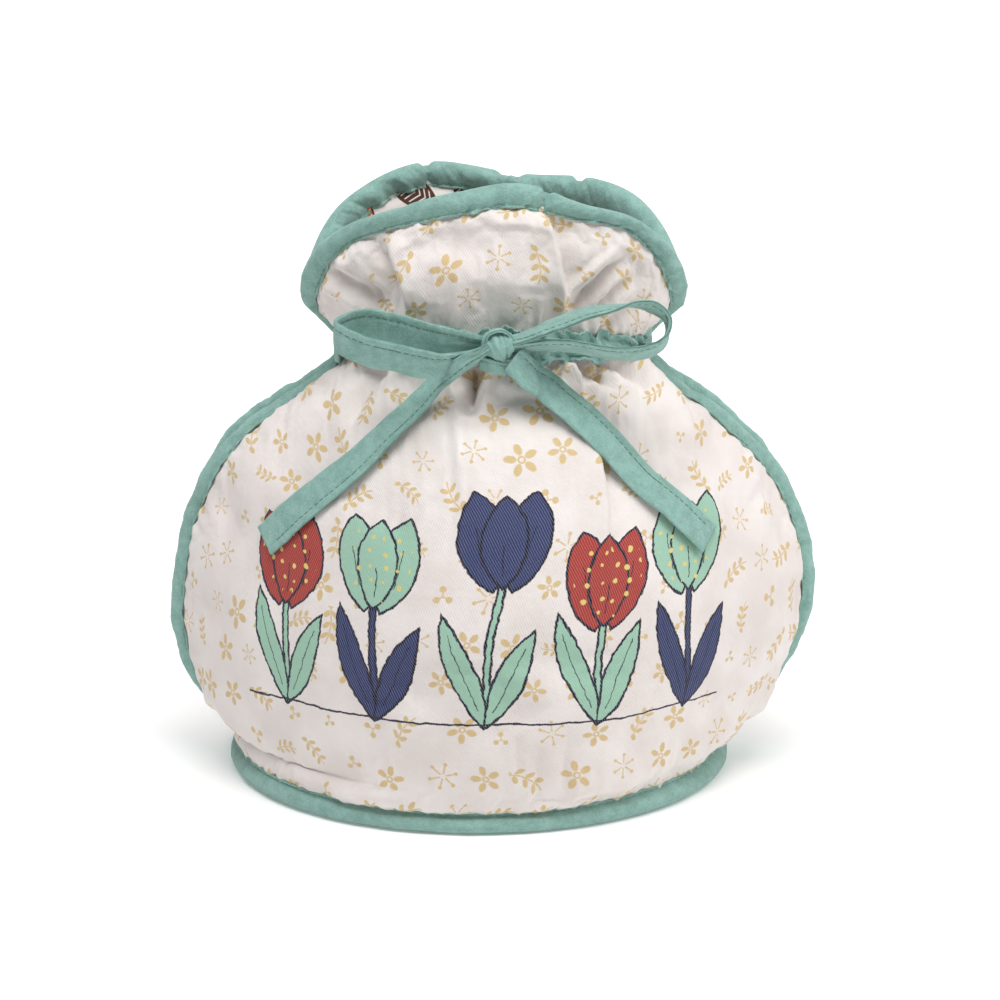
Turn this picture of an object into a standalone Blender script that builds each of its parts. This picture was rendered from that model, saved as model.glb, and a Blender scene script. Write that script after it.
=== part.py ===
"""Padded two-panel tea cosy with bound edges, a gathered collar and a tape tied in a bow.

Two padded and lined cotton panels meet in a short seam just above the hem. Above that seam
their bound side edges stay apart, so that a spout and a handle can pass between them.
A gathered casing on each panel carries a flat tape, which draws the neck in under the collar.

Units are metres, +Z is up, the front panel faces -Y and the hem stands on Z = 0.
Every cloth solid is laid out on one smooth mid-surface: "v" is the length of cloth measured
up the panel from the hem, "s" runs across it from -1 (left edge) to +1 (right edge), and an
offset is a distance from the mid-surface along its outward normal.
"""

import math

import bmesh
import bpy
import numpy as np
from mathutils import Vector
from mathutils.bvhtree import BVHTree

MM = 0.001

# Heights
HEM_TOP = 8.0 * MM
SEAM_TOP = 9.5 * MM
SLIT_FOOT = 13.0 * MM
NECK_HEIGHT = 159.0 * MM
NECK_LIFT = 5.0 * MM
NECK_LIFT_SPREAD = 34.0 * MM
NECK_ROUNDING = 6.5 * MM

# Rim of the collar: an arch that stands on the two ends of the neck
RIM_HALF_WIDTH = 68.0 * MM
RIM_CENTRE_X = 0.8 * MM
RIM_SPRING = 179.0 * MM
RIM_RISE = 40.0 * MM
RIM_SWEEP = math.radians(96.0)
RIM_DEPTHS = {"front": 43.0 * MM, "back": 46.5 * MM}
RIM_END_GAP = 2.4 * MM
COLLAR_BULGES = {"front": 5.0 * MM, "back": 2.5 * MM}

# Thickness of the layers, as offsets from the mid-surface
PAD_OUT = 3.0 * MM
PAD_IN = -2.0 * MM
PRESSED_OUT = 1.2 * MM
PRESSED_IN = -0.6 * MM
LAYER_GAP = 0.6 * MM
LINING = 0.7 * MM

# Binding: a strip folded round the edge, with a slot that holds the pressed layers
BINDING_WIDTH = 8.0 * MM
BINDING_WALL = 1.1 * MM
SLOT_GAP = 1.4 * MM
SLOT_OUT = PRESSED_OUT + SLOT_GAP
SLOT_IN = PRESSED_IN - LAYER_GAP - LINING - SLOT_GAP
HEM_EASE = 0.1 * MM
EDGE_INSET = 3.8 * MM
EDGE_REACH = 16.0 * MM
PAD_RAMP = 9.0 * MM

# Casing and tape
CASING_BELOW = 8.0 * MM
CASING_ABOVE = 7.5 * MM
CASING_END = 0.86
CASING_IN = PAD_OUT + 1.1 * MM
CASING_THICK = 3.4 * MM
TAPE_WIDTH = 11.8 * MM
TAPE_THICK = 1.6 * MM
TIE_SIDE_REACH = 6.5 * MM
TIE_SIDE_IN = SLOT_OUT + BINDING_WALL + 1.5 * MM

# Mesh density
FINE_STEP = 2.0 * MM
FINE_COLUMNS = 181
PANEL_COLUMNS = 28
EDGE_COLUMN = 0.055
CASING_COLUMNS = 26
EDGE_STEP = 9.5 * MM
NECK_STATIONS = (146.0 * MM, 182.0 * MM)
FOOT_STATIONS = 26.0 * MM
HEM_STATIONS = 40

SECTION_COLUMNS = ("height", "left", "right", "depth", "point", "gap_left", "gap_right")
SECTIONS = (
    (0, 92.8, 84.2, 87.3, 1.00, 0.25, 0.25),
    (5, 93.2, 84.2, 88.0, 1.00, 0.25, 0.25),
    (9, 94.4, 85.4, 88.6, 1.02, 0.25, 0.25),
    (12, 94.0, 87.6, 89.0, 1.05, 0.30, 0.30),
    (15, 94.3, 90.8, 89.5, 1.12, 0.9, 0.9),
    (20, 98.8, 94.8, 90.2, 1.30, 1.8, 1.8),
    (26, 104.6, 99.8, 91.0, 1.50, 2.2, 2.2),
    (36, 111.8, 106.2, 92.0, 1.80, 2.4, 2.4),
    (50, 116.3, 113.7, 92.5, 1.95, 2.6, 3.6),
    (62, 117.0, 116.6, 92.0, 2.00, 2.8, 7.0),
    (72, 115.8, 117.0, 91.2, 2.00, 2.8, 7.6),
    (85, 113.4, 115.5, 88.6, 2.00, 3.0, 3.6),
    (98, 110.0, 111.0, 84.4, 2.00, 4.6, 2.6),
    (110, 104.3, 104.4, 78.8, 2.00, 9.6, 2.8),
    (122, 94.6, 93.4, 70.4, 1.90, 10.6, 4.4),
    (134, 77.2, 78.6, 59.4, 1.75, 6.4, 7.6),
    (145, 57.0, 59.0, 48.6, 1.55, 3.4, 5.0),
    (151, 50.0, 51.2, 44.4, 1.40, 2.6, 2.6),
    (159, 47.4, 47.8, 41.4, 1.30, 2.4, 2.4),
)

# A fold is a groove across the neck: (low, neck, rim, depth, down, up). The first three say
# where across the panel it runs at its foot, at the neck and at the rim. It is deepest at the
# neck and fades over "down" and "up" millimetres.
FOLDS = {
    "front": (
        (-0.80, -0.74, -0.86, 2.4, 28, 20),
        (-0.52, -0.48, -0.50, 2.8, 46, 48),
        (-0.26, -0.25, -0.24, 2.2, 30, 22),
        (0.00, 0.01, 0.02, 2.4, 36, 20),
        (0.36, 0.32, 0.20, 3.0, 70, 90),
        (0.60, 0.55, 0.62, 2.6, 46, 44),
        (0.84, 0.78, 0.88, 2.4, 28, 20),
    ),
    "back": (
        (-0.82, -0.76, -0.84, 2.4, 28, 20),
        (-0.56, -0.52, -0.50, 2.8, 46, 60),
        (-0.26, -0.24, -0.30, 3.0, 58, 70),
        (0.02, 0.01, 0.02, 2.2, 30, 24),
        (0.30, 0.27, 0.22, 2.6, 50, 76),
        (0.58, 0.54, 0.56, 2.8, 46, 30),
        (0.84, 0.78, 0.86, 2.4, 28, 20),
    ),
}
FOLD_HALF_WIDTH = 6.2 * MM

# The rim's height wanders in humps and dips: (place across, height, half-width)
RIM_WAVES = {
    "front": ((0.10, 2.0, 0.18), (0.30, -2.6, 0.10), (-0.40, -1.6, 0.20)),
    "back": ((-0.58, 2.6, 0.16), (-0.30, 2.8, 0.18), (0.08, -5.6, 0.20), (0.54, 2.2, 0.16)),
}

# Bow: points of each strand, as millimetres from the knot's centre
KNOT_X = 1.6 * MM
KNOT_RISE = 1.4 * MM
KNOT_RADII = (5.6 * MM, 4.8 * MM, 6.4 * MM)
KNOT_CLEAR = 1.0 * MM
LOOP_COUNT = 29
LEFT_LOOP = (
    (-1.6, -1.1, -0.9),
    (-10.0, -3.0, -4.2),
    (-20.0, -5.0, -5.6),
    (-34.7, -8.0, -2.5),
    (-46.0, -8.6, 0.6),
    (-52.4, -6.0, 3.0),
    (-54.8, -1.6, 4.1),
    (-52.4, 3.0, 5.2),
    (-46.0, 6.0, 6.6),
    (-34.7, 5.4, 5.0),
    (-24.9, 2.8, 2.8),
    (-14.0, 0.8, 1.4),
    (-1.6, 1.1, 0.5),
)
LEFT_LOOP_ACROSS = (0.02, -0.35, 0.94)
RIGHT_LOOP = (
    (2.0, 0.0, 1.4),
    (10.0, -1.4, 3.6),
    (18.6, -3.0, 7.6),
    (38.3, -5.0, 14.1),
    (48.1, -5.0, 15.4),
    (54.4, -5.0, 13.8),
    (57.8, -4.6, 10.4),
    (58.4, -4.2, 6.4),
    (56.2, -4.0, 1.6),
    (51.8, -4.0, -1.0),
    (43.2, -4.0, -1.7),
    (33.3, -3.6, -0.6),
    (23.5, -3.0, 1.0),
    (14.0, -1.6, 0.4),
    (2.0, 0.0, -0.8),
)
RIGHT_LOOP_ACROSS = (0.02, -0.91, 0.41)

# Tails: each leaves the knot at given points (from its centre, and the width there) and
# then lies on the front panel down to its free end
START_COLUMNS = ("x", "y", "z", "width")
TAIL_COLUMNS = ("s", "below_neck", "lift", "width")
LEFT_TAIL_START = (
    (-2.6, -3.2, 0.4, 3.4),
    (-6.2, -5.2, -1.8, 4.0),
    (-10.4, -6.0, -4.1, 5.0),
    (-14.4, -5.2, -7.1, 6.2),
)
LEFT_TAIL = (
    (-0.197, 20.0, 10.0, 7.6),
    (-0.250, 25.2, 8.0, 8.8),
    (-0.306, 30.9, 6.5, 9.8),
    (-0.402, 44.1, 5.1, 10.9),
    (-0.471, 53.6, 4.9, 11.2),
    (-0.536, 64.5, 4.9, 11.2),
    (-0.600, 77.4, 5.0, 11.0),
)
LEFT_TAIL_LEAD = 30.0 * MM
RIGHT_TAIL_START = (
    (5.0, -1.4, -4.4, 8.6),
    (8.6, -1.8, -7.6, 10.2),
    (12.4, -1.4, -11.0, 11.4),
)
RIGHT_TAIL = (
    (0.187, 21.4, 8.6, 12.0),
    (0.259, 29.4, 7.4, 12.4),
    (0.329, 38.9, 6.3, 12.5),
    (0.396, 54.0, 5.3, 12.5),
    (0.462, 65.4, 5.1, 12.5),
    (0.548, 79.0, 5.1, 12.4),
)
RIGHT_TAIL_LEAD = 6.0 * MM
TAIL_FACING = (0.0, -1.0, 0.25)

CREAM = (0.86, 0.83, 0.78)
GREEN = (0.20, 0.47, 0.36)
RUST = (0.62, 0.20, 0.08)


def column(table, names, name):
    """One named column of a table, as an array."""
    return np.array([row[names.index(name)] for row in table], float)


def smooth(x, knots, values):
    """Cubic curve through the knots, with slopes taken from their neighbours."""
    slopes = np.gradient(values, knots)
    x = np.clip(x, knots[0], knots[-1])
    k = np.clip(np.searchsorted(knots, x) - 1, 0, len(knots) - 2)
    span = knots[k + 1] - knots[k]
    t = (x - knots[k]) / span
    start, end = values[k], values[k + 1]
    return (
        start * (1 + 2 * t) * (1 - t) ** 2
        + end * t * t * (3 - 2 * t)
        + span * slopes[k] * t * (1 - t) ** 2
        + span * slopes[k + 1] * t * t * (t - 1)
    )


def ease(x):
    """0 below 0, 1 above 1 and a soft step between."""
    x = np.clip(x, 0.0, 1.0)
    return x * x * (3 - 2 * x)


def section_value(name, height):
    scale = 1.0 if name == "point" else MM
    knots = column(SECTIONS, SECTION_COLUMNS, "height") * MM
    return smooth(height, knots, column(SECTIONS, SECTION_COLUMNS, name) * scale)


def even_row(points, count):
    """The same line with points evenly spaced along it."""
    steps = np.linalg.norm(np.diff(points, axis=0), axis=1)
    along = np.concatenate([[0.0], np.cumsum(steps)])
    at = np.linspace(0.0, along[-1], count)
    return np.stack([np.interp(at, along, points[:, k]) for k in range(3)], axis=1)


def body_row(height, side):
    """Level section of one panel: round at the hem, pointed at the sides higher up."""
    left, right = section_value("left", height), section_value("right", height)
    across = np.sin(np.linspace(-1.0, 1.0, 321) * math.pi / 2)
    gap = np.where(
        across < 0, section_value("gap_left", height), section_value("gap_right", height)
    )
    middle_gap = (gap[0] + gap[-1]) / 2
    gap = middle_gap + (gap - middle_gap) * ease(np.abs(across) * 1.2 - 0.2)
    depth, point = section_value("depth", height), section_value("point", height)
    out = gap + (depth - gap) * np.maximum(1 - across**2, 0.0) ** (point / 2)
    x = (right - left) / 2 + (right + left) / 2 * across
    row = np.stack([x, side * out, np.full_like(x, height)], axis=1)
    return even_row(row, FINE_COLUMNS)


def rim_row(name, side):
    """Top edge of the collar: an arch in the view from the front and an oval from above."""
    s = np.linspace(-1.0, 1.0, 321)
    angle = s * RIM_SWEEP
    out = RIM_END_GAP + (RIM_DEPTHS[name] - RIM_END_GAP) * np.cos(s * math.pi / 2) ** 0.8
    height = RIM_SPRING + RIM_RISE * np.cos(angle)
    for at, high, wide in RIM_WAVES[name]:
        height += high * MM * np.exp(-(((s - at) / wide) ** 2))
    x = RIM_CENTRE_X + RIM_HALF_WIDTH * np.sin(angle)
    return even_row(np.stack([x, side * out, height], axis=1), FINE_COLUMNS)


def grid_normals(grid, side):
    up, across = np.gradient(grid, axis=0), np.gradient(grid, axis=1)
    normals = np.cross(across, up)
    normals /= np.linalg.norm(normals, axis=2, keepdims=True)
    return normals * -side


class Panel:
    """Mid-surface of one panel: a fine grid of points and outward normals."""

    def __init__(self, name, side):
        self.name, self.side = name, side
        heights = np.linspace(0.0, NECK_HEIGHT, 400)
        depths = section_value("depth", heights)
        climb = np.concatenate([[0.0], np.cumsum(np.hypot(np.diff(heights), np.diff(depths)))])
        self.neck = climb[-1]
        rim = rim_row(name, side)
        neck = body_row(NECK_HEIGHT, side)
        middle = FINE_COLUMNS // 2
        self.top = self.neck + float(np.linalg.norm(rim[middle] - neck[middle]))
        self.v = np.linspace(0.0, self.top, round(self.top / FINE_STEP) + 1)
        self.s = np.linspace(-1.0, 1.0, FINE_COLUMNS)
        rows = []
        for v in self.v:
            if v <= self.neck:
                rows.append(body_row(np.interp(v, climb, heights), side))
                continue
            t = (v - self.neck) / (self.top - self.neck)
            row = neck * (1 - t) + rim * t
            row[:, 1] += side * COLLAR_BULGES[name] * 4 * t * (1 - t) * (1 - self.s**4)
            rows.append(row)
        self.grid = self.round_neck(np.array(rows))
        self.heights = self.grid[:, 0, 2].copy()
        near_neck = np.exp(-(((self.v - self.neck) / NECK_LIFT_SPREAD) ** 2))
        self.grid[..., 2] += NECK_LIFT * near_neck[:, None] * (1 - self.s**2)
        self.normals = grid_normals(self.grid, side)
        lengths = np.linalg.norm(np.diff(self.grid, axis=1), axis=2).sum(axis=1)
        self.half_length = lengths / 2
        self.grid += self.normals * self.folds()[..., None]
        self.tree = self.make_tree()
        self.edge, self.edge_normals, self.inward = self.trace_edge()

    def round_neck(self, grid):
        """Turn the sharp crease between shoulder and collar into a rounded valley."""
        reach = round(3 * NECK_ROUNDING / FINE_STEP)
        kernel = np.exp(-((np.arange(-reach, reach + 1) * FINE_STEP / NECK_ROUNDING) ** 2) / 2)
        kernel /= kernel.sum()
        padded = np.pad(grid, ((reach, reach), (0, 0), (0, 0)), "edge")
        rounded = sum(k * padded[i : i + len(grid)] for i, k in enumerate(kernel))
        near = ease(2.0 - np.abs(self.v - self.neck) / (16 * MM))[:, None, None]
        return grid * (1 - near) + rounded * near

    def folds(self):
        """How far each grid point is pushed in or out by the gathers."""
        v, s = np.meshgrid(self.v, self.s, indexing="ij")
        half = self.half_length[:, None]
        push = np.zeros_like(v)
        for low, neck, rim, depth, down, up in FOLDS[self.name]:
            below = np.clip((self.neck - v) / (down * MM), 0, None)
            above = np.clip((v - self.neck) / (up * MM), 0, None)
            place = neck + (low - neck) * np.minimum(below, 1.0)
            place += (rim - neck) * np.clip((v - self.neck) / (self.top - self.neck), 0, 1)
            fade = np.exp(-(below**1.6)) * np.exp(-(above**1.6))
            spread = FOLD_HALF_WIDTH * (1 + 0.5 * below + 0.4 * above)
            groove = np.exp(-(((s - place) * half / spread) ** 2))
            push -= depth * MM * fade * (groove - 0.35)
        return push * (1 - s**8)

    def at(self, v, s, offset=0.0):
        """Points of the surface at v and s, moved out by offset."""
        v, s = np.broadcast_arrays(np.asarray(v, float), np.asarray(s, float))
        i = np.clip(v / self.top, 0, 1) * (len(self.v) - 1)
        j = (np.clip(s, -1, 1) + 1) / 2 * (FINE_COLUMNS - 1)
        i0 = np.minimum(i.astype(int), len(self.v) - 2)
        j0 = np.minimum(j.astype(int), FINE_COLUMNS - 2)
        a, b = (i - i0)[..., None], (j - j0)[..., None]

        def mix(grid):
            low = grid[i0, j0] * (1 - b) + grid[i0, j0 + 1] * b
            high = grid[i0 + 1, j0] * (1 - b) + grid[i0 + 1, j0 + 1] * b
            return low * (1 - a) + high * a

        offset = np.broadcast_to(np.asarray(offset, float), v.shape)[..., None]
        normal = mix(self.normals)
        normal /= np.linalg.norm(normal, axis=-1, keepdims=True)
        return mix(self.grid) + normal * offset

    def neck_out(self, s):
        """The direction straight out of the neck at s."""
        return self.at(self.neck, s, 1.0) - self.at(self.neck, s)

    def beside_neck(self, distance, s):
        """The v that lies at a distance up (or down) the cloth from the neck at s."""
        v = np.empty(np.broadcast(distance, s).shape)
        distance, s = np.broadcast_arrays(distance, s)
        for place in np.ndindex(v.shape):
            line = self.at(self.v, s[place])
            steps = np.linalg.norm(np.diff(line, axis=0), axis=1)
            along = np.concatenate([[0.0], np.cumsum(steps)])
            neck = np.interp(self.neck, self.v, along)
            v[place] = np.interp(neck + distance[place], along, self.v)
        return v

    def v_at_height(self, height):
        """Cloth length from the hem to a level of the side edge, below the neck."""
        body = self.v <= self.neck
        return float(np.interp(height, self.heights[body], self.v[body]))

    def make_tree(self):
        """The mid-surface as a tree that finds the cell nearest to a point."""
        rows, columns = self.grid.shape[:2]
        points = [Vector(p) for p in self.grid.reshape(-1, 3)]
        corner = [i * columns + j for i in range(rows - 1) for j in range(columns - 1)]
        faces = [(k, k + 1, k + columns + 1, k + columns) for k in corner]
        return BVHTree.FromPolygons(points, faces)

    def place(self, point):
        """The v and s of the surface point nearest to a point."""
        near, _, index, _ = self.tree.find_nearest(Vector(point))
        i, j = divmod(index, FINE_COLUMNS - 1)
        start = self.grid[i, j]
        along_v, along_s = self.grid[i + 1, j] - start, self.grid[i, j + 1] - start
        a = (np.array(near) - start) @ along_v / (along_v @ along_v)
        b = (np.array(near) - start) @ along_s / (along_s @ along_s)
        v = self.v[i] + np.clip(a, 0, 1) * (self.v[1] - self.v[0])
        return v, self.s[j] + np.clip(b, 0, 1) * (self.s[1] - self.s[0])

    def trace_edge(self):
        """The free edge from one slit's foot over the rim to the other: points, surface
        normals there and the directions that lead into the cloth."""
        foot = self.v_at_height(SLIT_FOOT)
        rise = np.linspace(foot, self.top, 200)
        over = np.linspace(-1.0, 1.0, 400)[1:-1]
        v = np.concatenate([rise, np.full(len(over), self.top), rise[::-1]])
        s = np.concatenate([np.full(200, -1.0), over, np.full(200, 1.0)])
        points = self.at(v, s)
        steps = np.linalg.norm(np.diff(points, axis=0), axis=1)
        along = np.concatenate([[0.0], np.cumsum(steps)])
        at = np.linspace(0.0, along[-1], 4 * round(along[-1] / EDGE_STEP) + 1)
        line = np.stack([np.interp(at, along, points[:, k]) for k in range(3)], axis=1)
        v, s = np.interp(at, along, v), np.interp(at, along, s)
        normals = self.at(v, s, 1.0) - self.at(v, s)
        inward = np.cross(normals, np.gradient(line, axis=0)) * self.side
        return line, normals, inward / np.linalg.norm(inward, axis=1, keepdims=True)

    def drawn_in(self, v, s):
        """Places moved in from the free edge so that the cloth ends inside its binding, and
        how far each one then is from that edge."""
        v, s = (np.array(x) for x in np.broadcast_arrays(v, s))
        distance = np.zeros(v.shape)
        free = ease((v - self.v_at_height(SEAM_TOP)) / (3.0 * MM))
        for place in np.ndindex(v.shape):
            point = self.at(v[place], s[place])
            away = np.linalg.norm(self.edge - point, axis=1)
            nearest = int(np.argmin(away))
            shift = EDGE_INSET * max(0.0, 1 - away[nearest] / EDGE_REACH) * free[place]
            if shift > 0:
                v[place], s[place] = self.place(point + self.inward[nearest] * shift)
            distance[place] = away[nearest] + shift
        return v, s, distance


def material(name, colour, roughness):
    made = bpy.data.materials.new(name)
    made.use_nodes = True
    shader = made.node_tree.nodes["Principled BSDF"]
    shader.inputs["Base Color"].default_value = (*colour, 1.0)
    shader.inputs["Roughness"].default_value = roughness
    shader.inputs["Metallic"].default_value = 0.0
    return made


def add_object(name, build, finish):
    """A new object whose mesh is made by build(bmesh), with its faces turned outwards."""
    mesh = bpy.data.meshes.new(name)
    made = bmesh.new()
    build(made)
    bmesh.ops.recalc_face_normals(made, faces=made.faces)
    made.to_mesh(mesh)
    made.free()
    mesh.shade_smooth()
    mesh.set_sharp_from_angle(angle=math.radians(50))
    mesh.materials.append(finish)
    obj = bpy.data.objects.new(name, mesh)
    bpy.context.scene.collection.objects.link(obj)
    return obj


def add_layer(name, outer, inner, finish):
    """A closed sheet between two grids of points."""

    def build(made):
        layers = [
            [[made.verts.new(p) for p in row] for row in layer] for layer in (outer, inner)
        ]
        rows, columns = len(outer), len(outer[0])
        for layer in layers:
            for i in range(rows - 1):
                for j in range(columns - 1):
                    corners = (layer[i][j], layer[i][j + 1], layer[i + 1][j + 1], layer[i + 1][j])
                    made.faces.new(corners)
        border = [(0, j) for j in range(columns)]
        border += [(i, columns - 1) for i in range(1, rows)]
        border += [(rows - 1, j) for j in range(columns - 2, -1, -1)]
        border += [(i, 0) for i in range(rows - 2, 0, -1)]
        top, bottom = layers
        for (i, j), (k, m) in zip(border, border[1:] + border[:1]):
            made.faces.new((top[i][j], top[k][m], bottom[k][m], bottom[i][j]))

    return add_object(name, build, finish)


def add_sweep(name, rings, finish, closed=False):
    """A closed solid through a line of rings of points."""

    def build(made):
        placed = [[made.verts.new(p) for p in ring] for ring in rings]
        pairs = list(zip(placed, placed[1:]))
        if closed:
            pairs.append((placed[-1], placed[0]))
        else:
            made.faces.new(placed[0])
            made.faces.new(placed[-1])
        size = len(placed[0])
        for first, second in pairs:
            for k in range(size):
                m = (k + 1) % size
                made.faces.new((first[k], first[m], second[m], second[k]))

    return add_object(name, build, finish)


def panel_grid(panel):
    """Places of the panel's mesh, closer together near the slits' feet and the neck, with
    how full the wadding is at each: 0 where the binding or the hem presses it flat."""
    foot = [panel.v_at_height(h * MM) for h in (2.8, 9.5, 12.5, 16, 21, 28, 37, 48, 60)]
    body = list(np.linspace(foot[-1], panel.neck - 17 * MM, 8))[1:]
    neck = [panel.neck + d * MM for d in (-11.0, -5.5, 0.0, 6.0, 14.0)]
    collar = list(np.linspace(neck[-1], panel.top, 5))[1:]
    v = np.array(foot + body + neck + collar)[:, None]
    s = np.linspace(EDGE_COLUMN - 1, 1 - EDGE_COLUMN, PANEL_COLUMNS - 1)
    s = np.concatenate([[-1.0], s, [1.0]])[None, :]
    v, s, distance = panel.drawn_in(v, s)
    clear = np.minimum(distance - BINDING_WIDTH, v - HEM_TOP - 1.0 * MM)
    return v, s, ease(clear / PAD_RAMP)


def add_panel(panel, grid, finish):
    v, s, full = grid
    outer = panel.at(v, s, PRESSED_OUT + (PAD_OUT - PRESSED_OUT) * full)
    inner = panel.at(v, s, PRESSED_IN + (PAD_IN - PRESSED_IN) * full)
    return add_layer(f"panel_{panel.name}", outer, inner, finish)


def add_lining(panel, grid, finish):
    v, s, full = grid
    top = PRESSED_IN + (PAD_IN - PRESSED_IN) * full - LAYER_GAP
    return add_layer(
        f"lining_{panel.name}", panel.at(v, s, top), panel.at(v, s, top - LINING), finish
    )


def binding_profile():
    """The folded strip in section: (distance in from the edge, offset), round the outside first."""
    out, inside = SLOT_OUT + BINDING_WALL, SLOT_IN - BINDING_WALL
    middle, half = (out + inside) / 2, (out - inside) / 2
    nose = [
        (2.6 * MM * (1 - math.sin(a)), middle + half * math.cos(a))
        for a in np.radians((20, 62, 118, 160))
    ]
    slot = BINDING_WALL + 0.2 * MM
    return (
        [(BINDING_WIDTH, out)]
        + nose
        + [(BINDING_WIDTH, inside), (BINDING_WIDTH, SLOT_IN), (slot, SLOT_IN)]
        + [(slot, SLOT_OUT), (BINDING_WIDTH, SLOT_OUT)]
    )


def add_edge_binding(panel, finish):
    """Strip folded round the two side edges and the rim of one panel."""
    rings = []
    stations = [0]
    while stations[-1] < len(panel.edge) - 1:
        point = panel.edge[stations[-1]]
        tight = NECK_STATIONS[0] < point[2] < NECK_STATIONS[1] or point[2] < FOOT_STATIONS
        step = 2 if tight else 4
        stations.append(min(stations[-1] + step, len(panel.edge) - 1))
    for k in stations:
        point, normal, inward = panel.edge[k], panel.edge_normals[k], panel.inward[k]
        ring = []
        for inset, offset in binding_profile():
            if inset > BINDING_WALL:
                ring.append(panel.at(*panel.place(point + inward * inset), offset))
            else:
                ring.append(point + inward * inset + normal * offset)
        rings.append(ring)
    return add_sweep(f"binding_{panel.name}", rings, finish)


def hem_profile():
    """The hem's folded strip in section: (height, offset). Its foot is flat on the ground."""
    slot_out, slot_in = SLOT_OUT + HEM_EASE, SLOT_IN - HEM_EASE
    out, inside = slot_out + BINDING_WALL, slot_in - BINDING_WALL
    return (
        (HEM_TOP, out),
        (5.4 * MM, out + 0.9 * MM),
        (2.2 * MM, out + 0.6 * MM),
        (0.0, out - 1.2 * MM),
        (0.0, inside + 1.2 * MM),
        (2.2 * MM, inside - 0.4 * MM),
        (5.4 * MM, inside - 0.6 * MM),
        (HEM_TOP, inside),
        (HEM_TOP, slot_in),
        (BINDING_WALL, slot_in),
        (BINDING_WALL, slot_out),
        (HEM_TOP, slot_out),
    )


def add_hem(front, back, finish):
    """One strip folded round the lower edge of both panels."""
    s = np.linspace(-1.0, 1.0, HEM_STATIONS // 2 + 1)
    rings = []
    for panel, places in ((front, s), (back, s[-2:0:-1])):
        for place in places:
            ring = []
            for height, offset in hem_profile():
                point = panel.at(height, place, offset)
                point[2] = height
                ring.append(point)
            rings.append(ring)
    return add_sweep("hem_binding", rings, finish, closed=True)


def add_casing(panel, finish):
    """Gathered strip on the outside of the neck, which the tape runs through."""
    columns = np.linspace(-CASING_END, CASING_END, CASING_COLUMNS + 1)
    levels = np.array([-CASING_BELOW, -2.4 * MM, 2.4 * MM, CASING_ABOVE])
    levels, s = np.meshgrid(levels, columns, indexing="ij")
    v = panel.beside_neck(levels, s)
    swell = np.array([0.5, 1.0, 1.0, 0.5])[:, None]
    ruffle = 0.6 * MM * np.cos(np.arange(len(columns)) * math.pi)[None, :]
    thick = CASING_THICK * swell + ruffle * (swell < 1)
    inner = panel.at(v, s, CASING_IN)
    return add_layer(
        f"casing_{panel.name}", inner + panel.neck_out(s) * thick[..., None], inner, finish
    )


def even_line(points, count):
    """A smooth line through hand-placed points, evenly spaced."""
    points = np.array(points, float)
    knots = np.concatenate([[0], np.cumsum(np.linalg.norm(np.diff(points, axis=0), axis=1))])
    at = np.linspace(0, knots[-1], 200)
    line = np.stack([smooth(at, knots, points[:, k]) for k in range(3)], axis=1)
    return even_row(line, count)


def tape_rings(line, across, width, thickness=TAPE_THICK):
    """Rings of a flat tape along a line. across is the way its width points."""
    tangents = np.gradient(line, axis=0)
    across = np.broadcast_to(np.array(across, float), line.shape)
    width = np.broadcast_to(width, len(line))
    rings = []
    for point, tangent, wide, size in zip(line, tangents, across, width):
        tangent = tangent / np.linalg.norm(tangent)
        wide = wide - tangent * (wide @ tangent)
        wide = wide / np.linalg.norm(wide) * size / 2
        flat = np.cross(tangent, wide)
        flat = flat / np.linalg.norm(flat) * thickness / 2
        face, underside = point + flat, point - flat
        rings.append([face + wide, face - wide, underside - wide, underside + wide])
    return rings


def tail_line(panel, centre, start, table, lead, count=14):
    """Middle line, width direction and width of a tail, from the knot to its free end."""
    s = column(table, TAIL_COLUMNS, "s")
    v = panel.neck - column(table, TAIL_COLUMNS, "below_neck") * MM
    lying = panel.at(v, s, column(table, TAIL_COLUMNS, "lift") * MM)
    first = np.stack([column(start, START_COLUMNS, name) for name in "xyz"], axis=1) * MM
    knots = np.concatenate([first + centre, lying])
    widths = [column(start, START_COLUMNS, "width"), column(table, TAIL_COLUMNS, "width")]
    widths = np.concatenate(widths) * MM
    steps = np.arange(len(knots), dtype=float)
    at = np.linspace(0, len(knots) - 1, count)
    line = np.stack([smooth(at, steps, knots[:, k]) for k in range(3)], axis=1)
    places = np.array([panel.place(point) for point in line])
    normals = panel.at(*places.T, 1.0) - panel.at(*places.T)
    share = ease(np.linalg.norm(line - line[0], axis=1) / lead)[:, None]
    facing = normals * share + np.array(TAIL_FACING) * (1 - share)
    across = np.cross(facing, np.gradient(line, axis=0))
    return line, across, smooth(at, steps, widths)


def knot_centre(front):
    """The knot lies just in front of the casing, at the middle of the neck."""
    s = np.linspace(-0.3, 0.3, 61)
    face = front.at(front.neck, s, CASING_IN + CASING_THICK)
    y = face[:, 1].min() - KNOT_RADII[1] - KNOT_CLEAR
    return np.array([KNOT_X, y, face[30, 2] + KNOT_RISE])


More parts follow.
